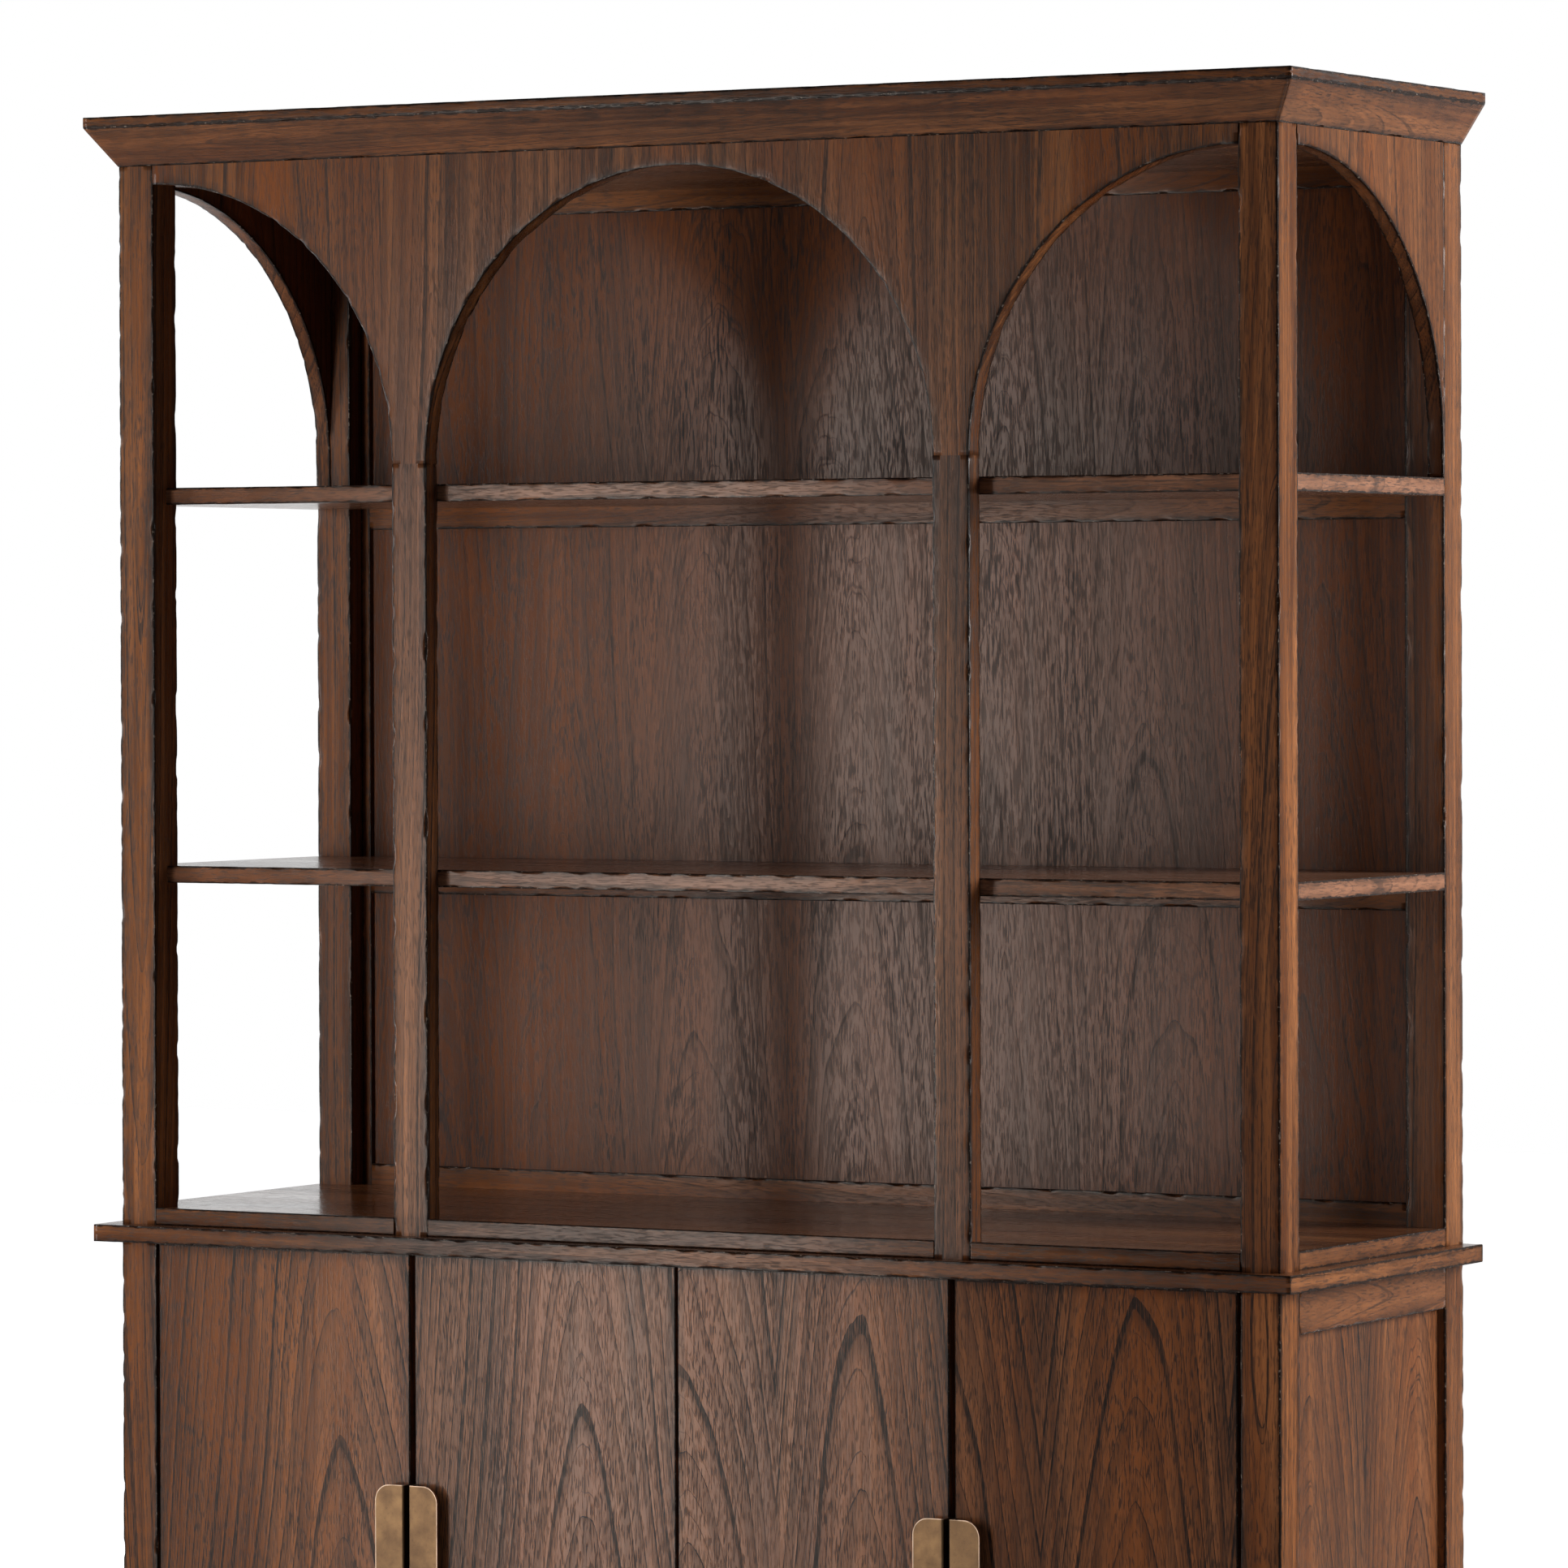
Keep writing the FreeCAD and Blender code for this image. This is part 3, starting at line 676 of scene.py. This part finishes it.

# %% [markdown]
# Shelves, counter and rails. A shelf's ends lie flush between the posts, so they are trimmed by a
# hair to stay just inside the posts' own faces. A rail is trimmed by the tenons inside the posts.
# The shelves get paler browns, a painted sheen for the light caught along their front edges.

# %% Boards and rails
# Paler browns for the shelves: a painted sheen on their edges.
SHELF_SHEEN_BROWNS = ((0.520, 0.250, 0.145, 1), (0.310, 0.145, 0.085, 1))
SIDE_BROWNS = ((0.322, 0.125, 0.050, 1), (0.188, 0.072, 0.033, 1))
HAIR = 0.0004
TENON = 0.020
SHELF_GLAZE = 0.0035
THIN_GLAZE = 0.0015
# The shelves and their end bands take the paler browns of the painted sheen.
for node, seed in named("hutch_shelf"):
    finish = wood(node, "X flat", seed, glaze=SHELF_GLAZE, browns=SHELF_SHEEN_BROWNS, Pith_Depth=0.06, Lean=0.03,
                  Polish=0.08)
    band = wood(node, "Y", seed, boxed=True, glaze=SHELF_GLAZE, browns=SHELF_SHEEN_BROWNS, name="band_",
                Pith_Depth=0.06)
    worn_block(node, 0, seed, finish, HAIR, band)
for node, seed in named("base_top_board"):
    finish = wood(node, "X flat", seed, Pith_Depth=0.06, Lean=0.02, Polish=0.05)
    band = wood(node, "Y", seed, boxed=True, name="band_", Pith_Depth=0.06)
    worn_block(node, 0, seed, finish, ends=band)
for node, seed in named("side_top_rail", "side_bottom_rail"):
    finish = wood(node, "Y", seed, glaze=THIN_GLAZE, browns=SIDE_BROWNS, Pith_Depth=0.05)
    worn_block(node, 1, seed, finish, TENON)
for words, trim in ((("front_bottom_rail", "base_back_rail"), TENON), (("hutch_back_rail",), 0.0)):
    for node, seed in named(*words):
        worn_block(node, 0, seed, wood(node, "X", seed, Pith_Depth=0.05), trim)
print("boards and rails dressed")

# %% [markdown]
# The cornice: five corners of a splayed moulding carried along the front and both sides. A point
# further out also travels further at a corner, which cuts the mitres by itself.

# %% Cornice
POST_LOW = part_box("hutch_post_front_left")[0]
CORNICE_LOW, CORNICE_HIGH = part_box("cornice_front")
HALF_WIDTH = -POST_LOW[0]
FRONT = POST_LOW[1]
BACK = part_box("hutch_post_back_left")[1][1]
OVERHANG = FRONT - CORNICE_LOW[1]
SEAT = CORNICE_HIGH[1] - FRONT
FASCIA = 0.013
MOULDING = [(-SEAT, CORNICE_LOW[2]), (0, CORNICE_LOW[2]), (OVERHANG, CORNICE_HIGH[2] - FASCIA),
            (OVERHANG, CORNICE_HIGH[2]), (-SEAT, CORNICE_HIGH[2])]


def cornice_front(seed, material):
    """x runs between minus and plus (half width + outward offset); y is the front less the offset."""
    share = np.linspace(-1, 1, int(2 * HALF_WIDTH / STATION))
    section, distance = worn_section(MOULDING, share * HALF_WIDTH, seed)
    out = section[..., 0]
    points = np.stack([share[:, None] * (HALF_WIDTH + out), FRONT - out, section[..., 1]], axis=-1)
    skin("cornice_front", points, distance, material)


def cornice_return(node, sign, seed, material):
    """y runs from the mitre (front less the offset) to the back; x is the half width plus the offset."""
    share = np.linspace(0, 1, int((BACK - FRONT) / STATION))
    section, distance = worn_section(MOULDING, FRONT + share * (BACK - FRONT), seed)
    out = section[..., 0]
    y = (FRONT - out) * (1 - share[:, None]) + BACK * share[:, None]
    points = np.stack([sign * (HALF_WIDTH + out), y, section[..., 1]], axis=-1)
    skin(node, points, distance, material, sign < 0)


cornice_front(701, wood("cornice_front", "X", 71, (0.3, 0, 0), Pith_Depth=0.05))
for node, sign, seed in (("cornice_left", -1, 711), ("cornice_right", 1, 721)):
    cornice_return(node, sign, seed, wood(node, "Y", seed, Pith_Depth=0.05))
print("cornice carried round the top")

# %% [markdown]
# The arched friezes: the section of the board, with its worn lower arrises, is carried along the
# arch. Rows of points lie at growing distances from the arch, and one strip of tall faces joins the
# last row to the top of the board.

# %% Frieze builder
HALF_PI = math.pi / 2
QUARTER = 90


def arris_plan(inset, radius):
    """Rows of (back from the arch, depth from the face, edge distance): guards, worn arris, soffit."""
    plan = [(gap, share * inset, gap) for gap, share in zip(GUARD[::-1], GUARD_SHARE[::-1])]
    plan += [(inset + (1 - t) ** 2 * radius, inset + t ** 2 * radius, 0.0) for t in ROUND_STEPS]
    return plan + [(GUARD_SHARE[1] * inset, GUARD[1], GUARD[1])]


def arch_rings(path, normal, top, thickness, seed, limit):
    """Rings of (run, depth, height): face top, face guards, worn arris, soffit, arris, guards, back top.

    path and normal are (stations, 2) in run and height; normal points from the wood into the opening.
    """
    count = len(path)
    travel = np.concatenate([[0], np.cumsum(np.linalg.norm(np.diff(path, axis=0), axis=1))])
    near, far = (arris_plan(*wear) for wear in zip(*arris_wear(travel, seed, 2)))
    plan = near + [(0.0, thickness / 2, thickness / 2)]
    plan += [(back, thickness - depth, gap) for back, depth, gap in far[::-1]]
    rows = []
    for back, depth, gap in plan:
        at = path - normal * np.broadcast_to(back, count)[:, None]
        run = np.clip(at[:, 0], *limit)
        rows.append(np.stack([run, np.broadcast_to(depth, count), at[:, 1]], axis=-1))
    crests = [rows[0].copy(), rows[-1].copy()]
    for crest in crests:
        crest[:, 2] = top
    rings = np.stack(crests[:1] + rows + crests[1:], axis=1)
    return rings, np.array([GUARD[-1]] + [gap for back, depth, gap in plan] + [GUARD[-1]])


def arc(centre, radius, start, end, count):
    """Points and normals of a circular arch; angles run from the upright."""
    angle = np.linspace(start, end, count)
    ray = np.stack([np.sin(angle), np.cos(angle)], axis=-1)
    return np.array(centre) + radius * ray, -ray


# %% [markdown]
# The front frieze is one wide board with a half circle between the mullions and a quarter circle of
# the same radius at each side. Its grain stands upright, as the photograph shows.

# %% Front frieze
FRIEZE_LOW, FRIEZE_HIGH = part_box("front_frieze")
BAY = FRIEZE_HIGH[0]
SPRING = FRIEZE_LOW[2]
ARCH = -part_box("mullion_left")[1][0]
arcs = [arc((-BAY, SPRING), ARCH, 0, HALF_PI, QUARTER),
        arc((0, SPRING), ARCH, -HALF_PI, HALF_PI, 2 * QUARTER),
        arc((BAY, SPRING), ARCH, -HALF_PI, 0, QUARTER)]
path, normal = (np.concatenate(part) for part in zip(*arcs))
rings, distance = arch_rings(path, normal, FRIEZE_HIGH[2], FRIEZE_HIGH[1] - FRIEZE_LOW[1], 801, (-BAY, BAY))
points = np.stack([rings[..., 0], FRIEZE_LOW[1] + rings[..., 1], rings[..., 2]], axis=-1)
finish = wood("front_frieze", "Z", 81, Pith_Depth=0.12, Lean=0.03, Leaf_Width=0.27, Leaf_Change=0.5,
              Figure=0.85, Rust=0.8)
skin("front_frieze", points, distance, finish, flip=True)
print("front frieze with", points.shape[0], "stations")

# %% [markdown]
# Each side frieze is a quarter of an ellipse, level at the front post, that springs a little higher
# than the front and ends in a short straight toe on the back post.

# %% Side friezes
SIDE_LIFT = 0.020
TOE = 0.002
TOE_STEPS = 9
for node, sign, seed in (("side_frieze_left", -1, 811), ("side_frieze_right", 1, 821)):
    low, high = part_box(node)
    reach = high[1] - TOE - low[1]
    spring = SPRING + SIDE_LIFT
    rise = SPRING + ARCH - spring
    angle = np.linspace(0, HALF_PI, QUARTER)
    curve = np.stack([low[1] + reach * np.sin(angle), spring + rise * np.cos(angle)], axis=-1)
    inward = -np.stack([rise * np.sin(angle), reach * np.cos(angle)], axis=-1)
    inward /= np.linalg.norm(inward, axis=1)[:, None]
    toe_z = np.linspace(spring, low[2], TOE_STEPS)[1:]
    toe = np.stack([np.full_like(toe_z, high[1] - TOE), toe_z], axis=-1)
    path = np.concatenate([curve, toe])
    normal = np.concatenate([inward, np.tile((-1.0, 0.0), (len(toe), 1))])
    rings, distance = arch_rings(path, normal, high[2], high[0] - low[0], seed, (low[1], high[1]))
    outer = high[0] if sign > 0 else low[0]
    points = np.stack([outer - sign * rings[..., 1], rings[..., 0], rings[..., 2]], axis=-1)
    finish = wood(node, "Z side", seed, sheen=0.08, browns=SIDE_BROWNS, Lean=0.04, Figure=0.8)
    skin(node, points, distance, finish, flip=sign > 0)
print("side friezes carried along their arches")

# %% [markdown]
# Doors and panels keep their own solids. The doors are welded and given a fine bevel. They are
# flat-cut: the pith lies behind the face and leans, so pointed arches climb beside the middle of
# each door. The two left doors show one leaf of veneer, the two right ones parts of two.

# %% Doors
WELD = 0.00002
SOFT_EDGE = 0.0009
SHARP = math.radians(40)
DOOR_GLAZE = 0.003
DOOR_BROWNS = ((0.365, 0.143, 0.059, 1), (0.172, 0.067, 0.032, 1))
# Each door has its pith's shift and lift, its leaf's width, its tone and its sheen.
DOORS = {"left_outer_door": (0.082, -0.047, 0.60, 1.08, 0.23),
         "left_inner_door": (0.050, -0.034, 0.60, 1.08, 0.25),
         "right_inner_door": (0.071, 0.074, 0.24, 1.0, 0.22),
         "right_outer_door": (0.050, 0.117, 0.24, 0.92, 0.07)}


def bevel_edges(piece, width):
    """A fine bevel on every edge sharper than the limit angle."""
    bevel = piece.modifiers.new("bevel", "BEVEL")
    bevel.width = width
    bevel.segments = 2
    bevel.limit_method = "ANGLE"
    bevel.angle_limit = SHARP


def soften(node):
    """A weld and a fine bevel on a node that keeps its own solid."""
    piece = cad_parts[node]
    piece.modifiers.new("weld", "WELD").merge_threshold = WELD
    bevel_edges(piece, SOFT_EDGE)


def paint(node, material):
    """One material for the whole of a node that keeps its own solid."""
    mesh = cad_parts[node].data
    mesh.materials.clear()
    mesh.materials.append(material)


for seed, (node, (shift, lift, leaf, tone, sheen)) in enumerate(DOORS.items(), 1):
    finish = wood(node, "Z", seed, (shift, 0, lift), True, DOOR_GLAZE, sheen, DOOR_BROWNS, tone,
                  Ring_Gap=0.0095, Pith_Depth=0.22, Lean=0.066, Point=0.10, Leaf_Width=leaf, Figure=1.0,
                  Pores=0.95, Rust=0.6, Polish=0.04)
    paint(node, finish)
    soften(node)
print("doors painted")

# %% [markdown]
# The back panels are darker and open-pored, in narrow leaves that each have their own figure. The
# side panels show two leaves, whose arches stand near the front and the back post.

# %% Back and side panels
PANEL_GLAZE = 0.001
DARK_BROWNS = ((0.252, 0.094, 0.043, 1), (0.162, 0.060, 0.029, 1))
SIDE_SHIFT = (0, -0.145, 0.006)
for node, seed in named("back_panel"):
    finish = wood(node, "Z", seed, boxed=True, glaze=PANEL_GLAZE, browns=DARK_BROWNS, Ring_Gap=0.012,
                  Pith_Depth=0.16, Lean=0.042, Warp=0.05, Leaf_Width=0.21, Leaf_Change=1.0, Figure=0.7,
                  Pores=0.85, Polish=0.02)
    paint(node, finish)
for node, seed in named("side_panel"):
    finish = wood(node, "Z side", seed, SIDE_SHIFT, True, PANEL_GLAZE, browns=SIDE_BROWNS, Ring_Gap=0.0085,
                  Pith_Depth=0.20, Lean=0.066, Point=0.10, Leaf_Width=0.282, Figure=1.0, Pores=0.85)
    paint(node, finish)
print("panels painted")

# %% [markdown]
# The boards left over: floors, loose shelves, ceiling, partition and the narrow stiles of the back.
# The ends of the hutch's floor show at the sides, so they get a band with its grain along the side.

# %% Remaining boards
BOARD_GLAZE = 0.003
END_FACE = 0.9


def paint_ends(node, material):
    """A second material on the faces of a node that look to the left or right at its two ends."""
    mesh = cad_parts[node].data
    low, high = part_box(node)
    mesh.materials.append(material)
    normals, centres = np.empty((2, 3 * len(mesh.polygons)))
    mesh.polygons.foreach_get("normal", normals)
    mesh.polygons.foreach_get("center", centres)
    from_middle = np.abs(centres[::3] - (low[0] + high[0]) / 2)
    is_end = (np.abs(normals[::3]) > END_FACE) & (from_middle > (high[0] - low[0]) / 2 - HAIR)
    mesh.polygons.foreach_set("material_index", is_end.astype(np.int32))


LYING = ("hutch_bottom_board", "hutch_top_board", "base_bottom_board", "base_shelf", "stop_rail")
for node, seed in named(*LYING):
    finish = wood(node, "X flat", seed, boxed=True, glaze=BOARD_GLAZE, Pith_Depth=0.06, Lean=0.02,
                  Polish=0.10)
    paint(node, finish)
    soften(node)
    if node == "hutch_bottom_board":
        band = wood(node, "Y", seed, boxed=True, glaze=BOARD_GLAZE, name="band_", Pith_Depth=0.06)
        paint_ends(node, band)
for node, seed in named("centre_partition", "back_stile", "locating_dowels"):
    paint(node, wood(node, "Z", seed, boxed=True, glaze=BOARD_GLAZE, Pith_Depth=0.06, Lean=0.03))
print("remaining boards painted")

# %% [markdown]
# Aged brass: a warm yellow metal that browned in clouds. The hinge leaves are plain, and the pulls
# get a painted highlight along their rim. Plain steel serves the catches and pins.

# %% Aged brass and steel
BRASS_BRIGHT = (0.215, 0.134, 0.070, 1)
BRASS_DULL = (0.145, 0.090, 0.055, 1)
# A pale colour for the painted highlight on the pulls' rims.
BRASS_RIM_HIGHLIGHT = (0.62, 0.47, 0.36, 1)
STEEL_BRIGHT = (0.56, 0.56, 0.57, 1)
STEEL_DULL = (0.44, 0.44, 0.45, 1)
RIM_HIGHLIGHT_FADE = (0.0006, 0.0013)


def metal(name, bright, dull, cloud, smooth, rough, rim=None):
    """Metal mixed from a bright and a dull colour by cloudy noise, rougher where it is dull.

    A rim colour, a painted highlight, shows where the mesh says that its outline is near.
    """
    material, tree, shader, place = new_material(name)
    clouds = remap(tree, noise(tree, place, cloud, cloud, 5, 0.65), 0.35, 0.68)
    specks = remap(tree, noise(tree, place, 300, 300, 2), 0.60, 0.75)
    aged = times(tree, specks, 0.4, clouds)
    colour = blend_colour(tree, aged, bright, dull)
    # The rim colour is a painted highlight along the outline, in uneven patches.
    if rim:
        distance = put(tree, "Attribute", attribute_name="edge").outputs["Fac"]
        highlight_patches = remap(tree, noise(tree, place, 60, 60, 3), 0.3, 0.55, 0.35, 1.0)
        worn = times(tree, remap(tree, distance, *RIM_HIGHLIGHT_FADE, 1.0, 0.0), highlight_patches)
        colour = blend_colour(tree, worn, colour, rim)
    feed(tree, shader["Base Color"], colour)
    feed(tree, shader["Roughness"], remap(tree, aged, 0.0, 1.0, smooth, rough))
    shader["Metallic"].default_value = 1
    return material


BRASS = metal("aged_brass", BRASS_BRIGHT, BRASS_DULL, 26, 0.38, 0.50)
STEEL = metal("plain_steel", STEEL_BRIGHT, STEEL_DULL, 90, 0.28, 0.42)
RIM_HIGHLIT_BRASS = metal("handled_brass", BRASS_BRIGHT, BRASS_DULL, 26, 0.38, 0.50, BRASS_RIM_HIGHLIGHT)
for node, seed in named("hinge"):
    paint(node, BRASS)
for node, seed in named("door_catches", "shelf_pins"):
    paint(node, STEEL)
print("metal painted")

# %% [markdown]
# Each pull is one strip of brass sheet folded to an L: a tab with two rounded corners stands in
# front of the door, and a return runs back along the door's free edge. The section of the fold is
# carried upward, and near both ends the tab draws in along a quarter circle.

# %% Folded pulls
TAB_CORNER = 0.020
CORNER_STEPS = 15
STRAIGHT_STEPS = 22
SHEET = 0.003
SHEET_EDGE = 0.0005
FOLD_OUTSIDE = 0.0022
FOLD_INSIDE = 0.0004
FOLD_STEPS = 7
RIM_ROWS = np.array([0.0, 0.0006, 0.0013, 0.003])
TAB_SHARES = np.array([0.7, 0.4])
RETURN_SHARES = np.array([0.3, 0.6, 1.0])


def tab_stations(bottom, top, width):
    """At the height r (1 - cos a) from either end the tab is narrower by r (1 - sin a)."""
    turn = np.linspace(0, HALF_PI, CORNER_STEPS)
    rise = TAB_CORNER * (1 - np.cos(turn))
    drawn_in = TAB_CORNER * (1 - np.sin(turn))
    straight = np.linspace(bottom + TAB_CORNER, top - TAB_CORNER, STRAIGHT_STEPS)[1:-1]
    heights = np.concatenate([bottom + rise, straight, top - rise[::-1]])
    return heights, width - np.concatenate([drawn_in, np.zeros(len(straight)), drawn_in[::-1]])


def fold_rows(widths, depth):
    """Rows of the sheet's outer and inner side: tab, quarter turn round the fold, return.

    A row is (in from the free edge, back from the tab's face). Returns two arrays (stations, rows, 2).
    """
    turn = np.linspace(0, HALF_PI, FOLD_STEPS)
    flat = widths[:, None] - RIM_ROWS
    flat = np.concatenate([flat, flat[:, -1:] * TAB_SHARES], axis=1)
    sides = []
    for near, radius in ((0.0, FOLD_OUTSIDE), (SHEET, FOLD_INSIDE)):
        behind = near + radius + (depth - near - radius) * RETURN_SHARES
        bend = np.concatenate([near + radius * (1 - np.sin(turn)), np.full(len(behind), near)])
        back = np.concatenate([near + radius * (1 - np.cos(turn)), behind])
        inward = np.concatenate([flat, np.tile(bend, (len(flat), 1))], axis=1)
        backward = np.concatenate([np.full_like(flat, near), np.tile(back, (len(flat), 1))], axis=1)
        sides.append(np.stack([inward, backward], axis=-1))
    return sides


def outline_distance(inward, height, width, bottom, top):
    """Distance from the outline of a tab with rounded corners; the fold's side has no outline."""
    over = inward - (width - TAB_CORNER)
    beyond = np.abs(height - (bottom + top) / 2) - ((top - bottom) / 2 - TAB_CORNER)
    outside = np.hypot(np.maximum(over, 0), np.maximum(beyond, 0))
    return TAB_CORNER - outside - np.minimum(np.maximum(over, beyond), 0)


def free_edge(door):
    """The pull's node and box, the way that its door's free edge looks along x, and that edge's x."""
    node = door.replace("_door", "_pull")
    low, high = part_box(node)
    door_low, door_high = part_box(door)
    way = 1 if high[0] - door_low[0] > door_high[0] - low[0] else -1
    return node, low, high, way, high[0] if way > 0 else low[0]


def folded_pull(door, material):
    """The outer rows and the reversed inner rows make a ring; strips between them close its ends."""
    node, low, high, way, free = free_edge(door)
    width = high[0] - low[0]
    heights, widths = tab_stations(low[2], high[2], width)
    outer, inner = fold_rows(widths, high[1] - low[1])
    section = np.concatenate([outer, inner[:, ::-1]], axis=1)
    stations, ring = section.shape[:2]
    height = np.broadcast_to(heights[:, None], (stations, ring))
    points = np.stack([free - way * section[..., 0], low[1] + section[..., 1], height], axis=-1)
    k = np.arange(outer.shape[1] - 1)
    strip = np.stack([k, ring - 1 - k, ring - 2 - k, k + 1], axis=-1)
    faces = np.concatenate([ring_faces(stations, ring), strip, strip[:, ::-1] + (stations - 1) * ring])
    distance = outline_distance(section[..., 0], height, width, low[2], high[2])
    piece = add_piece(node + "_folded", points.reshape(-1, 3), faces[:, ::way].tolist(), material, door,
                      node, distance)
    bevel_edges(piece, SHEET_EDGE)


for door in DOORS:
    # The pulls take the brass with the painted highlight on the rim.
    folded_pull(door, RIM_HIGHLIT_BRASS)
print("pulls folded")

# %% [markdown]
# Small fasteners show once a door swings open: three slotted screws hold each pull's return to
# the edge of its door, and a thin steel strike on the door's back meets the magnet button.

# %% Screws and strikes
HEAD_STEPS = np.array([-1, -0.8, -0.6, -0.4, -0.19, -0.17, 0.17, 0.19, 0.4, 0.6, 0.8, 1])
SLOT_HALF = 0.18
SEAT_SHARE = 0.3
UPRIGHT = np.array((0.0, 0.0, 1.0))


def head_surface(slot_depth):
    """A disc from the square (a, b): u = a sqrt(1 - b b / 2) and v = b sqrt(1 - a a / 2).

    It is domed by 1 - u u - v v, and where b lies within the slot the dome drops by slot_depth.
    Returns unit u, v and height grids.
    """
    a, b = np.meshgrid(HEAD_STEPS, HEAD_STEPS, indexing="ij")
    u = a * np.sqrt(1 - b * b / 2)
    v = b * np.sqrt(1 - a * a / 2)
    return u, v, 1 - u * u - v * v - slot_depth * (np.abs(b) < SLOT_HALF)


def head_faces(count):
    """Quads over the top grid, under it and round its rim; the lower grid follows the upper one."""
    grid = np.arange(count * count).reshape(count, count)
    corners = (grid[:-1, :-1], grid[1:, :-1], grid[1:, 1:], grid[:-1, 1:])
    upper = np.stack(corners, axis=-1).reshape(-1, 4)
    rim = np.concatenate([grid[:-1, 0], grid[-1, :-1], grid[:0:-1, -1], grid[0, :0:-1]])
    after = np.roll(rim, -1)
    side = np.stack([rim, rim + count * count, after + count * count, after], axis=-1)
    return np.concatenate([upper, upper[:, ::-1] + count * count, side])


def heads(name, places, out, sizes, material, body):
    """One mesh of equal discs that stand on places, domed along the unit vector out, closed underneath."""
    radius, height, slot_depth = sizes
    u, v, dome = head_surface(slot_depth)
    out = np.array(out, float)
    flat = u[..., None] * radius * UPRIGHT + v[..., None] * radius * np.cross(out, UPRIGHT)
    top = flat + (height * np.clip(dome, 0, None))[..., None] * out
    under = flat - SEAT_SHARE * height * out
    one = np.concatenate([top.reshape(-1, 3), under.reshape(-1, 3)])
    vertices = (one + np.array(places)[:, None, :]).reshape(-1, 3)
    faces = head_faces(len(HEAD_STEPS)) + len(one) * np.arange(len(places))[:, None, None]
    add_piece(name, vertices, faces.reshape(-1, 4).tolist(), material, body)


# The radius, height and depth of the slot of a head.
SCREW = (0.0035, 0.0008, 0.5)
STRIKE = (0.006, 0.0002, 0.0)
SCREW_SPREAD = 0.070
SCREW_DEPTH = 0.009
STRIKE_INSET = 0.025
STRIKE_RAISE = 0.0175
STRIKE_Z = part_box("door_stop_rail")[0][2] + STRIKE_RAISE
for door in DOORS:
    low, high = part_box(door)
    node, pull_low, pull_high, way, face = free_edge(door)
    middle = (pull_low[2] + pull_high[2]) / 2
    screws = [(face, low[1] + SCREW_DEPTH, middle + k * SCREW_SPREAD) for k in (-1, 0, 1)]
    heads(door + "_pull_screws", screws, (way, 0, 0), SCREW, BRASS, door)
    strike = (face - way * STRIKE_INSET, high[1], STRIKE_Z)
    heads(door + "_strike", [strike], (0, 1, 0), STRIKE, STEEL, door)
print("screws and strikes seated")
